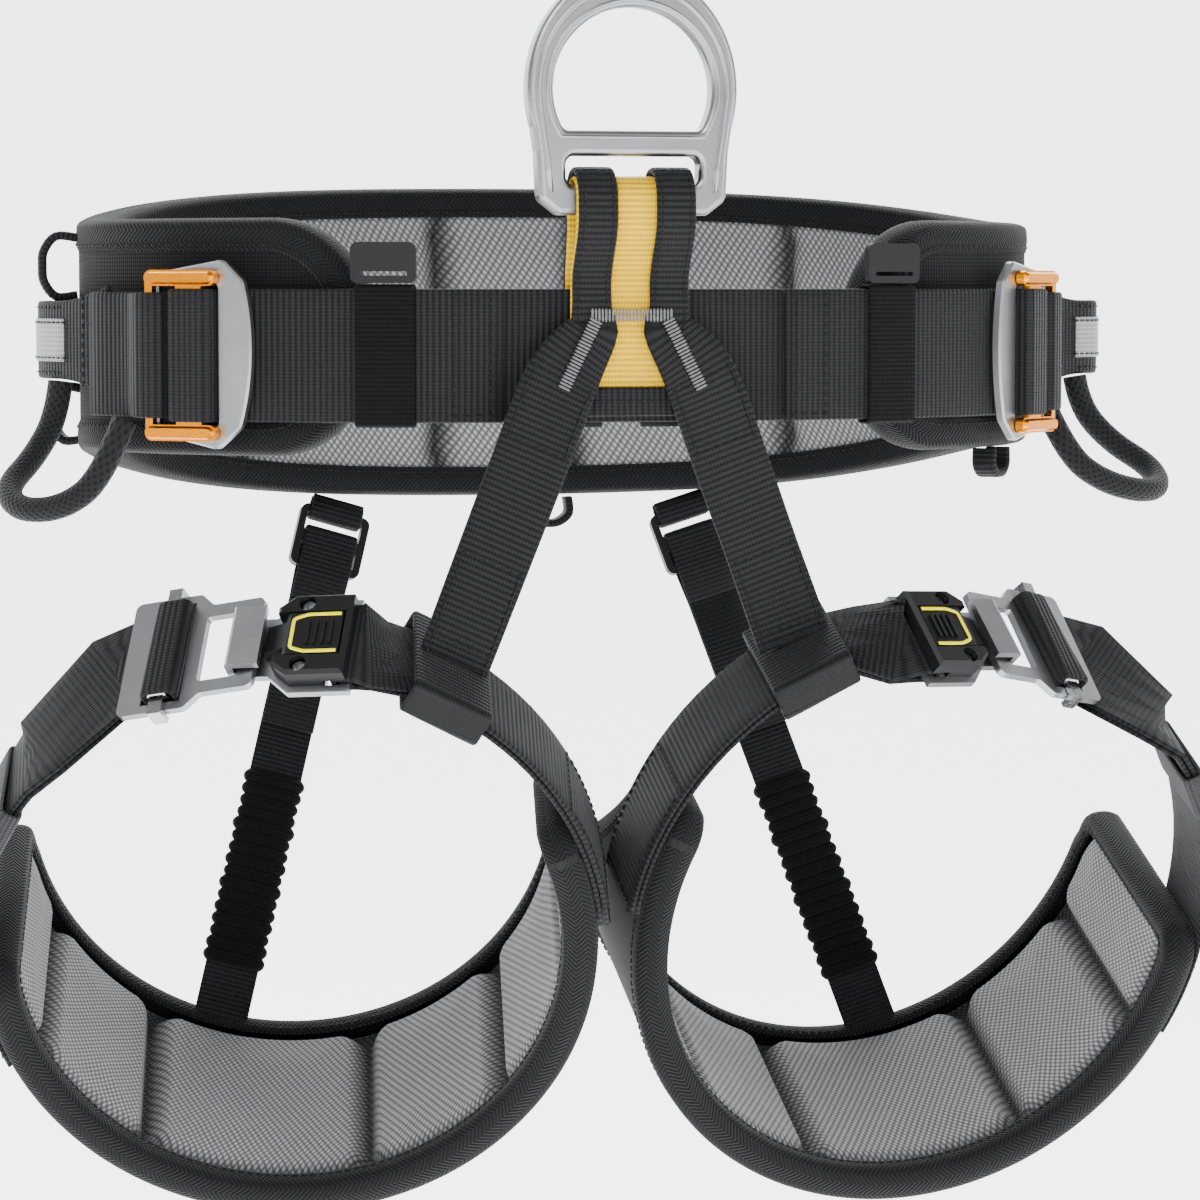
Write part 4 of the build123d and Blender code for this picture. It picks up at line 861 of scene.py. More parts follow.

# %% Riser webbing and its anchor
# The webbing's turn round the ladder lock tilts with it, so it is a piece of its own. It meets the rest
# of the riser TURN_LOW below the lock.
TURN_LOW, TURN_STIFF = -24.0, -13.0     # the turn bends between these two heights
RISER_W, RISER_T = 20.0, 1.6
anchors = []
for side in SIDES:
    place = lock_place[side]
    length = (LOCK_AT[side] - riser_feet[side]).length

    def beside_lock(points):
        """Points beside the lock: forwards, then up."""
        return [place @ Vector((0, up, forward)) for forward, up in points]

    top = (ANCHOR_TOP - LOCK_AT[side].z) / place.col[1].z
    across = place.col[0].to_3d()
    front = beside_lock([(-1.1, up) for up in (-length - 4.0, -length * 0.9, -length * 0.5, TURN_LOW)])
    tail = beside_lock([(0.9, TURN_LOW), (0.9, -0.4 * length)])
    turn = beside_lock([(-1.1, TURN_LOW - 0.6), (-3.1, TURN_STIFF), (-3.1, 2.4), (-1.6, 3.5), (1.6, 3.5),
                        (3.1, 2.4), (3.1, TURN_STIFF), (0.9, TURN_LOW - 0.6)])
    hang = beside_lock([(1.2, top), (3.1, 12.6), (3.1, 8.7), (1.8, 7.5), (-1.8, 7.5), (-3.1, 8.7),
                        (-3.1, 12.6), (-1.2, top)])
    anchors.append((soften(hang, 1.2), across, RISER_W, RISER_T))
    web = join_meshes([strap_mesh(line, across, RISER_W, RISER_T) for line in (front, tail)])
    piece = closed_piece("riser_web_" + side, web, fine_webbing)
    stiff, low = place @ Vector((0, TURN_STIFF, 0)), place @ Vector((0, TURN_LOW, 0))
    bending(piece, side, low, riser_feet[side], "black_webbing", "riser_webbing_" + side)
    web = strap_mesh(soften(turn, 1.4), across, RISER_W, RISER_T)
    piece = closed_piece("riser_turn_" + side, web, fine_webbing)
    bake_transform(piece)
strap("anchor_webbing", anchors, fine_webbing, "harness", "riser_anchors")

# %% [markdown]
# ## Pads
# A pad is two sheets with foam between: black cloth outside, grey spacer mesh against the wearer. It is
# made as a slab in its own places: u along it, v across it and a height off its outer face. The mesh side
# is pressed out by the foam, and pulled in where it is sewn down between its panels, and there its colour
# is darkened as painted shade. Cloth simulation would swell it too, but a remeshed pad would lose the
# panel seams, which here come from the same places as the pattern.

# %% A slab between two heights


def slab(name, at, size, nu, nv, front, back, material, seam_shade=None):
    """at(u, v, height) gives a point and size(u, v) its place in the pattern. front and back give heights.
    The last argument, a function of (u, v), is how far the cloth is drawn into a seam, from 0 to 1, which the
    material darkens as painted shade."""
    points, faces, uv = [], [], []
    for height in (front, back):
        for i in range(nu + 1):
            for k in range(nv + 1):
                u, v = i / nu, k / nv
                points.append(at(u, v, height(u, v)))
                uv.append(size(u, v))
    across, layer = nv + 1, (nu + 1) * (nv + 1)
    for i in range(nu):
        for k in range(nv):
            a = i * across + k
            faces.append((a, a + across, a + across + 1, a + 1))
            faces.append((layer + a, layer + a + 1, layer + a + across + 1, layer + a + across))
    for i in range(nu):
        for k in (0, nv):
            a, b = i * across + k, (i + 1) * across + k
            faces.append((a, b, layer + b, layer + a))
    for k in range(nv):
        for i in (0, nu):
            a, b = i * across + k, i * across + k + 1
            faces.append((a, b, layer + b, layer + a))
    piece = closed_piece(name, (points, faces, uv), material)
    # how far the cloth is drawn into a seam is kept on the points, for the lining's painted shade
    if seam_shade:
        shade_layer = piece.data.attributes.new("seam", "FLOAT", "POINT")
        values = [seam_shade(i / nu, k / nv) for i in range(nu + 1) for k in range(nv + 1)]
        shade_layer.data.foreach_set("value", values + values)
    return piece


def level(height):
    """The same height everywhere on a slab."""
    return lambda u, v: height


def step(x, low, high):
    """0 below low, 1 above high, smooth between."""
    t = min(1.0, max(0.0, (x - low) / (high - low)))
    return t * t * (3 - 2 * t)


def tape(name, rim, profile, material):
    """Edge tape. rim(i, d, r) is a place on the i-th cut round the edge, d in from it, r off the pad."""
    points, uv = [], []
    run, last = 0.0, None
    for i in range(rim.count):
        here = rim.at(i, 0.0, -6.0)
        run += (here - last).length if last is not None else 0.0
        last = here
        lap = 0.0
        for k, (d, r) in enumerate(profile):
            if k:
                lap += sqrt((d - profile[k - 1][0]) ** 2 + (r - profile[k - 1][1]) ** 2)
            points.append(rim.at(i, d, r))
            uv.append((run, lap))
    return closed_piece(name, (points, ring_faces(rim.count, len(profile), True), uv), material)


def tape_profile(width, outer, inner):
    """Tape folded over an edge: a rounded U, from the lip on the outer face to the lip on the lining."""
    mid, half = (outer + inner) / 2, (outer - inner) / 2
    shell = [(width, outer - 0.25), (width - 0.8, outer + 0.15), (width * 0.55, outer + 0.5),
             (2.6, outer + 0.2)]
    for k in range(1, 8):
        a = pi / 2 - pi * k / 8
        shell.append((2.6 - 2.6 * cos(a), mid + (half + 0.1) * sin(a)))
    shell += [(2.6, inner - 0.2), (width * 0.55, inner - 0.5), (width - 0.8, inner - 0.15),
              (width, inner + 0.25)]
    core = [(width, inner + 1.2), (3.4, inner + 1.4), (3.4, outer - 1.4), (width, outer - 1.2)]
    return shell + core


# %% Outline of the waist pad
PAD_TOP_SIDE, PAD_TOP_BACK, PAD_LOW_SIDE, PAD_LOW_BACK = 46.0, 61.0, -34.0, -58.0
WING_X, WING_R, WING_MID = 119.0, 33.0, 6.0
SHELL_T, CLOTH_TOP, WAIST_TAPE, LEG_TAPE = 2.5, -0.15, 11.0, 8.8
WAIST_INSET, LEG_INSET = 9.5, 7.5       # how far the cloth stops inside the pad's edge, under the tape
FOAM_IN, SEAM_DEEP = -13.7, 6.5
U_CUTS = 220


def waist_edge(u, inset):
    """Angle round the waist, and heights of both edges, for u from the right wing tip to the left one."""
    side = 1 if u < 0.5 else -1
    t = u if u < 0.5 else 1 - u
    if t < 0.10:
        beta = pi / 2 * (0.06 + 0.94 * t / 0.10)
        x = WING_X - (WING_R - inset) * cos(beta)
        angle = -degrees(acos(x / WAIST_A))
        shape = sin(beta)
    else:
        start = -degrees(acos(WING_X / WAIST_A))
        angle = start + (90 - start) * (t - 0.10) / 0.40
        shape = 1.0
    rise = step(WAIST_B * sin(radians(angle)), -10, WAIST_B + 20) if angle > -6 else 0.0
    top = PAD_TOP_SIDE + (PAD_TOP_BACK - PAD_TOP_SIDE) * rise - inset
    low = PAD_LOW_SIDE + (PAD_LOW_BACK - PAD_LOW_SIDE) * rise + inset
    top, low = WING_MID + (top - WING_MID) * shape, WING_MID + (low - WING_MID) * shape
    return (angle if side > 0 else 180 - angle), top, low


class WaistRim:
    """The waist pad's edge as one closed line: along the top, round a wing, back along the bottom."""
    count = 2 * U_CUTS

    @staticmethod
    def at(i, d, r):
        i = i % (2 * U_CUTS)
        u = (i + 0.5) / U_CUTS if i < U_CUTS else (2 * U_CUTS - i - 0.5) / U_CUTS
        angle, top, low = waist_edge(u, d)
        return waist_at(angle, r, top if i < U_CUTS else low)


# %% Waist pad: outer cloth, lining and edge tape
def waist_place(inset):
    def at(u, v, height):
        angle, top, low = waist_edge(u, inset)
        return waist_at(angle, height, low + (top - low) * v)
    return at


def waist_size(u, v):
    angle, top, low = waist_edge(u, 10)
    return angle * 2.45, low + (top - low) * v


WAIST_CREASES = [(-58, 1.2), (22, 1.6), (49, SEAM_DEEP), (80.5, SEAM_DEEP), (99.5, SEAM_DEEP),
                 (131, SEAM_DEEP), (158, 1.6), (238, 1.2)]


def lining_height(u, v):
    """The lining swells inwards, and dips to its edge tape and to each seam."""
    angle, top, low = waist_edge(u, 10)
    z = low + (top - low) * v
    edge = min(top - z, z - low)
    swell = 3.4 * step(edge, -1.0, 20.0)
    seam = sum(depth * exp(-((angle - a) * 2.0 / 3.4) ** 2) for a, depth in WAIST_CREASES)
    quilt = 0.25 * sin(angle * 0.55) * sin(z * 0.11)
    return FOAM_IN + 1.3 - swell + min(seam, SEAM_DEEP) * step(edge, 1.0, 9.0) + quilt


# how far the lining is drawn into each seam: the mesh material darkens it there as painted shade
def lining_seam_shade(u, v):
    angle = waist_edge(u, 10)[0]
    return min(1.0, sum(depth / SEAM_DEEP * exp(-((angle - a) * 2.0 / 3.6) ** 2)
                        for a, depth in WAIST_CREASES))


shell = slab("waist_pad_cloth", waist_place(WAIST_INSET), waist_size, 200, 24, level(CLOTH_TOP),
             level(-SHELL_T), pad_cloth)
finished(shell, "harness", "pad_fabric", "waist_shell")
lining = slab("waist_pad_lining", waist_place(WAIST_INSET), waist_size, 320, 56, level(-4.8),
              lining_height, grey_mesh, lining_seam_shade)
finished(lining, "harness", "mesh_foam", "waist_foam")
edge = tape("waist_edge_tape", WaistRim, tape_profile(WAIST_TAPE, 0.3, -14.0), binding_tape)
finished(edge, "harness", "binding_tape", "waist_binding")
core = [waist_at(-22 + 2 * k, -3.6) for k in range(113)]
strap("waist_core_webbing", [(core, UP, BELT_WEB, 1.6)], black_webbing, "harness", "back_webbing")

# %% [markdown]
# ## Leg pads
# The same slab, in the places of a leg loop: u round the thigh and v along it. The pad is as wide as the
# webbing near the buckle, and twice that under the thigh. Five deep seams divide its lining.

# %% Outline of a leg pad
LEG_CREASES = (96, 130, 164, 212, 244)


def leg_width(side, phi, inset=0.0):
    y = LEG_RISE[side] * LEG_R * cos(radians(phi))
    share = step((LEG_R * 0.40 - y) / (LEG_R * 0.65), 0.0, 1.0)
    return 50.0 + (LEG_PAD_W[side] - 50.0) * share - inset


class LegRim:
    """A leg pad's edge: a closed line round its four sides, with round corners."""

    def __init__(self, side):
        self.side = side
        self.flat = []
        scale = LEG_R * pi / 180
        corner = 13.0
        start, end = PAD_FROM * scale + corner, PAD_TO * scale - corner
        front = [(start + (end - start) * k / 140, 0.0) for k in range(141)]
        rear = [(s, -leg_width(side, s / scale)) for s, a in reversed(front)]
        self.flat += front
        self.flat += self.turn((front[-1][0], -corner), corner, 90, 0)
        self.flat += self.turn((rear[0][0], rear[0][1] + corner), corner, 0, -90)
        self.flat += rear
        self.flat += self.turn((rear[-1][0], rear[-1][1] + corner), corner, -90, -180)
        self.flat += self.turn((front[0][0], -corner), corner, 180, 90)
        self.count = len(self.flat)
        self.scale = scale

    @staticmethod
    def turn(middle, radius, start, end):
        turns = [radians(start + (end - start) * k / 7) for k in range(1, 7)]
        return [(middle[0] + radius * cos(t), middle[1] + radius * sin(t)) for t in turns]

    def at(self, i, d, r):
        i = i % self.count
        before, here, after = self.flat[i - 1], self.flat[i], self.flat[(i + 1) % self.count]
        ds, da = after[0] - before[0], after[1] - before[1]
        size = sqrt(ds * ds + da * da)
        s, a = here[0] + d * da / size, here[1] - d * ds / size
        return leg_at(self.side, s / self.scale, r, a)


# %% Leg pads: outer cloth, lining and edge tape
def leg_phi(u, inset=0.0):
    """The angle on a leg loop at the share u of its pad's length, between ends that stop inset short."""
    ends = inset / LEG_R * 57.3             # millimetres on the loop to degrees
    return PAD_FROM + ends + (PAD_TO - PAD_FROM - 2 * ends) * u


def leg_place(side, inset):
    def at(u, v, height):
        phi = leg_phi(u, inset)
        near, far = -inset, -leg_width(side, phi) + inset
        return leg_at(side, phi, height, near + (far - near) * v)
    return at


def leg_lining(side, heights=True):
    def height(u, v):
        phi = leg_phi(u, LEG_INSET)
        wide = leg_width(side, phi) - 2 * LEG_INSET
        edge = min(wide * v, wide - wide * v)
        marks = [PAD_FROM - 2] + list(LEG_CREASES) + [PAD_TO + 2]
        near = min(abs(phi - m) for m in marks) * LEG_R * pi / 180 * 0.92
        reach = 9.0
        inside = min(near - 1.6, edge - 2.0)
        if near < reach and edge < reach:
            inside = reach - sqrt((reach - near + 1.6) ** 2 + (reach - edge + 2) ** 2)
        swell = sqrt(step(inside, -0.6, 5.5))
        # without heights it gives 1 - swell: how far the lining is drawn into a seam or to its edge tape,
        # which the mesh material darkens as painted shade
        return (-4.4 - 6.9 * swell - 1.6 * step(inside, 4.0, 22.0)) if heights else 1 - swell
    return height


for side in SIDES:
    def leg_size(u, v, side=side):
        phi = leg_phi(u)
        return phi * 1.72, -leg_width(side, phi) * v

    cloth = slab("leg_pad_cloth_" + side, leg_place(side, LEG_INSET), leg_size, 150, 20, level(CLOTH_TOP),
                 level(-SHELL_T), pad_cloth)
    finished(cloth, "leg_" + side, "pad_fabric", "leg_shell_" + side)
    lining = slab("leg_pad_lining_" + side, leg_place(side, LEG_INSET), leg_size, 300, 66, level(-2.9),
                  leg_lining(side), grey_mesh, leg_lining(side, heights=False))
    finished(lining, "leg_" + side, "mesh_foam", "leg_foam_" + side)
    edge = tape("leg_edge_tape_" + side, LegRim(side), tape_profile(LEG_TAPE, 0.3, -11.0), binding_tape)
    finished(edge, "leg_" + side, "binding_tape", "leg_binding_" + side)

# %% [markdown]
# ## Gear loops
# Each gear loop is a stiff cord in a sleeve. Its route is given by a few control points, and the NURBS
# curve through their frame keeps the bends as even as a stiff cord's.

# %% Gear loops
GEAR_ROUTE = {
    "left": [(-.180, -.009, -.0099), (-.1815, -.010, -.022), (-.190, -.015, -.036), (-.201, -.026, -.046),
             (-.198, -.040, -.053), (-.184, -.049, -.052), (-.171, -.052, -.042), (-.163, -.0505, -.0223)],
    "right": [(.193, -.007, -.0099), (.1945, -.008, -.021), (.205, -.013, -.034), (.218, -.021, -.043),
              (.217, -.033, -.050), (.206, -.041, -.051), (.191, -.043, -.047), (.179, -.040, -.038),
              (.1725, -.036, -.0223)],
}
GEAR_R = 0.0043
for side in SIDES:
    route = GEAR_ROUTE[side]
    line = bpy.data.curves.new("gear_cord_" + side, "CURVE")
    line.dimensions = "3D"
    line.bevel_depth, line.bevel_resolution, line.resolution_u = GEAR_R, 5, 10
    line.use_fill_caps = True
    spline = line.splines.new("NURBS")
    spline.points.add(len(route) - 1)
    for point, place in zip(spline.points, route):
        point.co = place + (1.0,)
    spline.order_u = 3
    spline.use_endpoint_u = True
    line.materials.append(cord_sheath)
    piece = link_object("gear_cord_" + side, line)
    finished(piece, "harness", "cord_sheath", "gear_loop_" + side)
    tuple(route[0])

# %% [markdown]
# ## Stitching and ruffles
# Stitches are the same short bead of thread, repeated along many lines, so Geometry Nodes place
# them: the lines are plain edges, the tree measures them into even steps and puts a copy at each step,
# turned along the line. The same tree gathers the elastic: there the copies are soft folds.

# %% A tree that puts copies along lines


def row_tree(item, material):
    """Copies of item along the edges of a mesh, pitch metres apart, turned along them."""
    tree = bpy.data.node_groups.new("copies_along_lines", "GeometryNodeTree")
    face = tree.interface
    face.new_socket("Lines", in_out="INPUT", socket_type="NodeSocketGeometry")
    pitch = face.new_socket("Pitch", in_out="INPUT", socket_type="NodeSocketFloat")
    least = face.new_socket("Smallest", in_out="INPUT", socket_type="NodeSocketFloat")
    seed = face.new_socket("Seed", in_out="INPUT", socket_type="NodeSocketInt")
    across = face.new_socket("Across", in_out="INPUT", socket_type="NodeSocketVector")
    face.new_socket("Copies", in_out="OUTPUT", socket_type="NodeSocketGeometry")
    given = node(tree, "NodeGroupInput").outputs
    curve = node(tree, "GeometryNodeMeshToCurve", {"Mesh": given["Lines"]})
    even = node(tree, "GeometryNodeResampleCurve", {"Curve": curve.outputs[0], "Length": given["Pitch"]},
                mode="LENGTH")
    tangent = node(tree, "GeometryNodeInputTangent")
    along = node(tree, "FunctionNodeAlignEulerToVector", {"Vector": tangent.outputs[0]}, axis="Z")
    turned = node(tree, "FunctionNodeAlignEulerToVector",
                  {"Rotation": along.outputs[0], "Vector": given["Across"]}, axis="X", pivot_axis="Z")
    size = node(tree, "FunctionNodeRandomValue", {"Seed": given["Seed"]}, data_type="FLOAT")
    tree.links.new(given["Smallest"], size.inputs[2])
    copy = node(tree, "GeometryNodeObjectInfo", {"Object": item, "As Instance": True})
    placed = node(tree, "GeometryNodeInstanceOnPoints",
                  {"Points": even.outputs[0], "Instance": copy.outputs["Geometry"],
                   "Rotation": turned.outputs[0], "Scale": size.outputs[1]})
    real = node(tree, "GeometryNodeRealizeInstances", {"Geometry": placed.outputs[0]})
    done = node(tree, "GeometryNodeSetMaterial", {"Geometry": real.outputs[0], "Material": material})
    tree.links.new(done.outputs[0], node(tree, "NodeGroupOutput").inputs[0])
    return tree, {"pitch": pitch.identifier, "least": least.identifier, "seed": seed.identifier,
                  "across": across.identifier}


def copies(name, lines, item, material, pitch, least=0.9, seed=3, across=(1, 0, 0)):
    """Run the tree over lines of points in millimetres, and keep the result as a plain mesh."""
    points, edges = [], []
    for line in lines:
        start = len(points)
        points += [Vector(p) * MM for p in line]
        edges += [(start + i, start + i + 1) for i in range(len(line) - 1)]
    mesh = bpy.data.meshes.new(name + "_lines")
    mesh.from_pydata(points, edges, [])
    guide = link_object(name + "_guide", mesh)
    tree, ids = row_tree(item, material)
    modifier = guide.modifiers.new("copies", "NODES")
    modifier.node_group = tree
    modifier[ids["pitch"]] = pitch * MM
    modifier[ids["least"]] = least
    modifier[ids["seed"]] = seed
    modifier[ids["across"]] = across
    bpy.context.view_layer.update()
    result = bpy.data.meshes.new_from_object(guide.evaluated_get(bpy.context.evaluated_depsgraph_get()))
    guide.modifiers.clear()
    bpy.data.objects.remove(guide)
    result.name = name
    if "pattern" not in result.uv_layers:
        result.uv_layers.new(name="pattern")
    result.polygons.foreach_set("use_smooth", [True] * len(result.polygons))
    piece = link_object(name, result)
    print(name, len(result.polygons), "faces")
    return piece


# %% One stitch


def bead(name, length, radius, sides=6):
    """A short length of thread with rounded ends, along z."""
    points = []
    rings = [(-0.5, 0.45), (-0.36, 1.0), (0.36, 1.0), (0.5, 0.45)]
    for place, swell in rings:
        for k in range(sides):
            a = 2 * pi * k / sides
            points.append((radius * swell * cos(a), radius * swell * sin(a), place * length))
    made = make_piece(name, points, ring_faces(len(rings), sides), black_thread)
    made.hide_render = True
    return made


fine_stitch = bead("fine_stitch", 2.3, 0.34)
STITCH_PITCH, BAR_PITCH = 3.1, 1.15


def on_strap(line, turns, offset, lift, start, end):
    """A line on a strap's face, offset across it and lifted off its middle."""
    spots = []
    for i in range(max(start, 0), min(end, len(line))):
        run = heading(line, i).normalized()
        side = turns[i] if isinstance(turns, list) else turns
        side = (side - run * side.dot(run)).normalized()
        spots.append(line[i] + side * offset + run.cross(side).normalized() * lift)
    return spots


def facing(line, turns, lift, towards):
    """lift with the sign that puts it on the side of the strap towards a direction."""
    i = len(line) // 2
    run = (line[i + 1] - line[i - 1]).normalized()
    side = turns[i] if isinstance(turns, list) else turns
    return lift if run.cross(side).dot(towards) > 0 else -lift


# %% Stitches on the harness
harness_lines = []
for side in SIDES:
    box = [[waist_at(TAIL_END[side] + OUT[side] * shift, TAIL_OFF + 1.0, z) for z in (-20, 0, 20)]
           for shift in (1.2, 3.2, 5.2)]
    harness_lines += [box[0], box[2], [row[0] for row in box], [row[2] for row in box]]
    line = tabs[SIDES.index(side)][0]
    lift = facing(line, UP, TAB_T / 2 + 0.15, waist_out(TAB_LINE[side][3][0]))
    for offset in (-11.3, 11.3):
        harness_lines.append(on_strap(line, UP, offset, lift, 9, 34))
    for offset in (-15.64, -6, 6, 15.64):
        harness_lines.append(on_strap(line, UP, offset, lift, 1, 5))
    for index in (1, 5):
        harness_lines.append([on_strap(line, UP, o, lift, index, index + 1)[0] for o in (-15, -5, 5, 15)])
    band, height = bands[SIDES.index(side)][0], bands[SIDES.index(side)][2]
    lift = facing(band, UP, 0.45, waist_out(TAB_LINE[side][3][0]))
    for offset in (-height / 2 + 1.3, height / 2 - 1.3):
        harness_lines.append(on_strap(band, UP, offset, lift, 0, 99))
for r in (0.75, -14.45):
    rim = [WaistRim.at(i, WAIST_TAPE - 1.9, r) for i in range(WaistRim.count)]
    harness_lines.append(rim + [rim[0]])
harness_lines.append([(-19, -112.9, -15), (15, -112.9, -15)])
strap("bridge_hem", [([Vector((x, -112.2, -15.3)) for x in (-22.4, -12, -2, 8, 18.4)], UP, 9.6, 1.4)],
      black_webbing, "harness")
piece = copies("harness_stitches", harness_lines, fine_stitch, black_thread, STITCH_PITCH)
finished(piece, "harness", "black_webbing")

# %% Stitches on the front straps
for side in SIDES:
    line, turns, widths = front_lines[side]
    lift = facing(line[-12:], turns[-12:], STRAP_T / 2 + 0.1, Vector((0, -1, 0)))
    count = len(line)
    edges = []
    for offset in (-1, 1):
        edges.append(on_strap(line, turns, offset * 5.0, lift, 50, count - 19))
        edges.append(on_strap(line, turns, offset * 10.4, lift, count - 13, count - 9))
        edges.append(on_strap(line, turns, offset * 10.4, lift, count - 5, count))
    for index in (count - 13, count - 10, count - 5, count - 2):
        edges.append([on_strap(line, turns, o, lift, index, index + 1)[0] for o in (-10.4, 0, 10.4)])
    piece = copies("front_stitches_" + side, edges, fine_stitch, black_thread, 3.0)
    bending(piece, side, *front_bend[side], "black_webbing")

# %% Grey tacks across the bridge: a bar of close stitches, and one down each front strap
bar_bead = bead("bar_stitch", 4.6, 0.42)
bar_bead.data.transform(Matrix.Rotation(radians(90), 4, "Y"))
level_tack = copies("bridge_tack", [[(x, -115.3, 13.5) for x in (-15.5, -8, 4, 11.5)]], bar_bead,
                     grey_thread, BAR_PITCH, across=(0.15, 0, 1))
finished(level_tack, "harness", "black_webbing")
slanted = [[(FRONT_X + out * 12.5, -116.0, 11.5), (FRONT_X + out * 23.5, -117.0, -10.5)] for out in (-1, 1)]
for side, line in zip(SIDES, slanted):
    piece = copies("front_tack_" + side, [line], bar_bead, grey_thread, BAR_PITCH,
                   across=(1, 0, OUT[side] * 0.35))
    finished(piece, "harness", "black_webbing")

# %% Stitches on the legs
BOX_HALF, INNER_TOP, OUTER_TOP = 16.4, 5.0, 2.6     # sewn boxes: half their width, and heights off the pad
for side in SIDES:
    main, tail, turns, high = leg_lines[side]
    rim = LegRim(side)
    lines = []
    for r in (0.75, -11.45):
        loop = [rim.at(i, LEG_TAPE - 1.7, r) for i in range(rim.count)]
        lines.append(loop + [loop[0]])
    for along in (MID_ALONG - BOX_HALF, MID_ALONG + BOX_HALF):
        lines.append([leg_at(side, 84 - 2 * k, INNER_TOP, along) for k in range(12)])
        lines.append([leg_at(side, -100 - 1.5 * k, OUTER_TOP, along) for k in range(9)])
    for phi, lift in ((60, INNER_TOP), (83, INNER_TOP), (-100, OUTER_TOP), (-112, OUTER_TOP)):
        lines.append([leg_at(side, phi, lift, MID_ALONG + a) for a in (-BOX_HALF, 0, BOX_HALF)])
    for along in (-3.4, -LEG_WEB + 0.6):
        phis = [WRAP_AT - WRAP_HALF + 1.2 + 1.6 * k for k in range(9)]
        lines.append([leg_at(side, phi, WRAP_OUT + 2.65, along) for phi in phis])
    piece = copies("leg_stitches_" + side, lines, fine_stitch, black_thread, STITCH_PITCH)
    finished(piece, "leg_" + side, "black_webbing")

# %% Ruched elastic on the risers


def soft_fold(name, length, half_width, half_depth):
    """One gathered fold of the sleeve, along z: a flattened barrel that swells in its middle."""
    points = []
    rings, sides = 7, 20
    for ring in range(rings):
        t = ring / (rings - 1)
        swell = sin(pi * (0.12 + 0.76 * t))
        w, d = half_width * (0.80 + 0.20 * swell), half_depth * (0.38 + 0.62 * swell)
        for k in range(sides):
            a = 2 * pi * k / sides
            c, s = cos(a), sin(a)
            x = w * abs(c) ** 0.55 * (1 if c > 0 else -1)
            y = d * abs(s) ** 0.7 * (1 if s > 0 else -1)
            points.append((x, y, (t - 0.5) * length))
    uv = [(p[2], p[0]) for p in points]
    made = make_piece(name, points, ring_faces(rings, sides), elastic_knit, uv)
    made.hide_render = True
    return made


RUFFLES = 17
for side in SIDES:
    place = lock_place[side]
    length = (LOCK_AT[side] - riser_feet[side]).length
    start, end = -0.5 * length, -0.9 * length
    pitch = (start - end) / (RUFFLES - 0.4)
    fold_item = soft_fold("fold_" + side, pitch * 1.12, 12.0, 3.7)
    gathers = [[place @ Vector((0, start - pitch * 0.6, -1.1)), place @ Vector((0, end + pitch * 0.6, -1.1))]]
    piece = copies("riser_ruffles_" + side, gathers, fold_item, elastic_knit, pitch, least=0.93, seed=7,
                   across=tuple(place.col[0].to_3d()))
    bpy.data.objects.remove(fold_item)
    bending(piece, side, LOCK_AT[side], riser_feet[side], "elastic", "riser_elastic_" + side)
for item in (fine_stitch, bar_bead):
    bpy.data.objects.remove(item)

# %% Yellow line round each thumb pad
for side in SIDES:
    flat = [(9.0, 7.2), (-2.0, 7.2), (-6.8, 5.6), (-6.8, -5.6), (-2.0, -7.2), (9.0, -7.2)]
    line = soften([latch_place[side] @ Vector((x, y, 10.4)) for x, y in flat], 1.2)
    n = latch_place[side].col[2].to_3d()
    turns = [n.cross(heading(line, i)).normalized() for i in range(len(line))]
    strap("thumb_pad_line_" + side, [(line, turns, 1.3, 0.5)], yellow_print, "lever_" + side,
          slot="black_plastic")

# %% [markdown]
# ## The ring's rims
# The forging leaves a thin rim round the eye and a ridge along the arch, with a groove between them. They
# are low beads, sunk in the faces of the ring that comes from the frame.

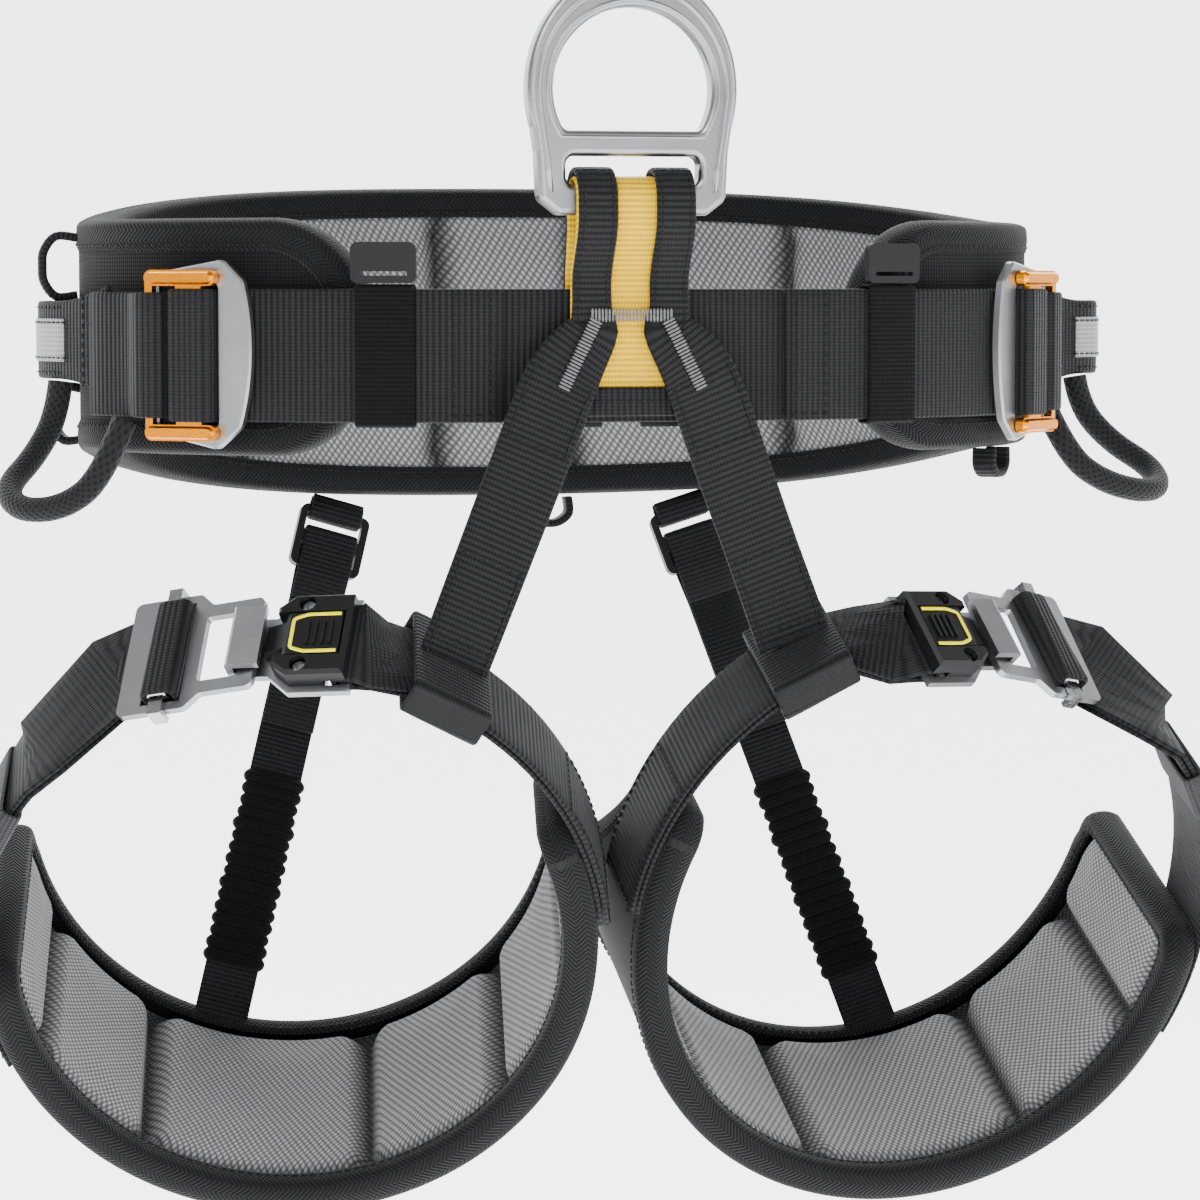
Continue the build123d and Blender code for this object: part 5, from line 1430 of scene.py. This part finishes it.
# %% Rims and ridges of the ring
EYE_Z, EYE_R, EYE_FLAT = 88.1, 26.9, 13.6
beads = []
for face in (-1, 1):
    y = RING_Y + face * 4.45
    grow = 2.3
    radius = EYE_R + grow
    cut = degrees(acos((EYE_FLAT + grow) / radius))
    arc = [radians(-90 + cut + (360 - 2 * cut) * k / 60) for k in range(61)]
    rim = [Vector((FRONT_X + radius * cos(a), y, EYE_Z + radius * sin(a))) for a in arc]
    rim += [between(rim[-1], rim[0], k / 8) for k in range(1, 8)]
    beads.append((rim, Vector((0, 1, 0)), 1.5, 1.5, True))
    arc = [radians(-12 + 204 * k / 50) for k in range(51)]
    ridge = [Vector((FRONT_X + 32.0 * cos(a), y, EYE_Z + 34.2 * sin(a))) for a in arc]
    low = [Vector((FRONT_X + x, y, z)) for x, z in ((30.2, 72.0), (28.6, 62.0), (28.0, 54.0))]
    mirrored = [Vector((2 * FRONT_X - p.x, p.y, p.z)) for p in low]
    beads.append((list(reversed(low)) + ridge + mirrored, Vector((0, 1, 0)), 1.7, 2.0))
strap("ring_rims", beads, forged_aluminium, "ring", slot="ring_alloy")

# %% [markdown]
# ## Floor
# A wide sheet of pale paper, well below the saddle, bent up far behind it through a quarter circle.

# %% Floor
FLOOR_Z, FLOOR_FRONT, BEND_AT, BEND_R, WALL_TOP, HALF_WIDE = -620, -9600, 2400, 3600, 10800, 12000
profile = [(FLOOR_FRONT, FLOOR_Z), (BEND_AT, FLOOR_Z)]
profile += [(BEND_AT + BEND_R * sin(radians(a)), FLOOR_Z + BEND_R * (1 - cos(radians(a))))
            for a in range(9, 91, 9)]
profile.append((BEND_AT + BEND_R, WALL_TOP))
floor_points = [(x, y, z) for y, z in profile for x in (-HALF_WIDE, HALF_WIDE)]
floor_faces = [(2 * k, 2 * k + 1, 2 * k + 3, 2 * k + 2) for k in range(len(profile) - 1)]
floor = make_piece("studio_paper", floor_points, floor_faces, pale_floor)
floor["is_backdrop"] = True

# %% [markdown]
# ## Measure and finish
# The box of what shows is measured, and how far it grows past the box of the frame is printed.

# %% Measure and finish
low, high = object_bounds()
{"cad": [list(cad_low), list(cad_high)], "visual": [list(low), list(high)]}
print("box grows by", [round((cad_low[i] - low[i]) * 1000, 1) for i in range(3)],
      [round((high[i] - cad_high[i]) * 1000, 1) for i in range(3)], "mm")
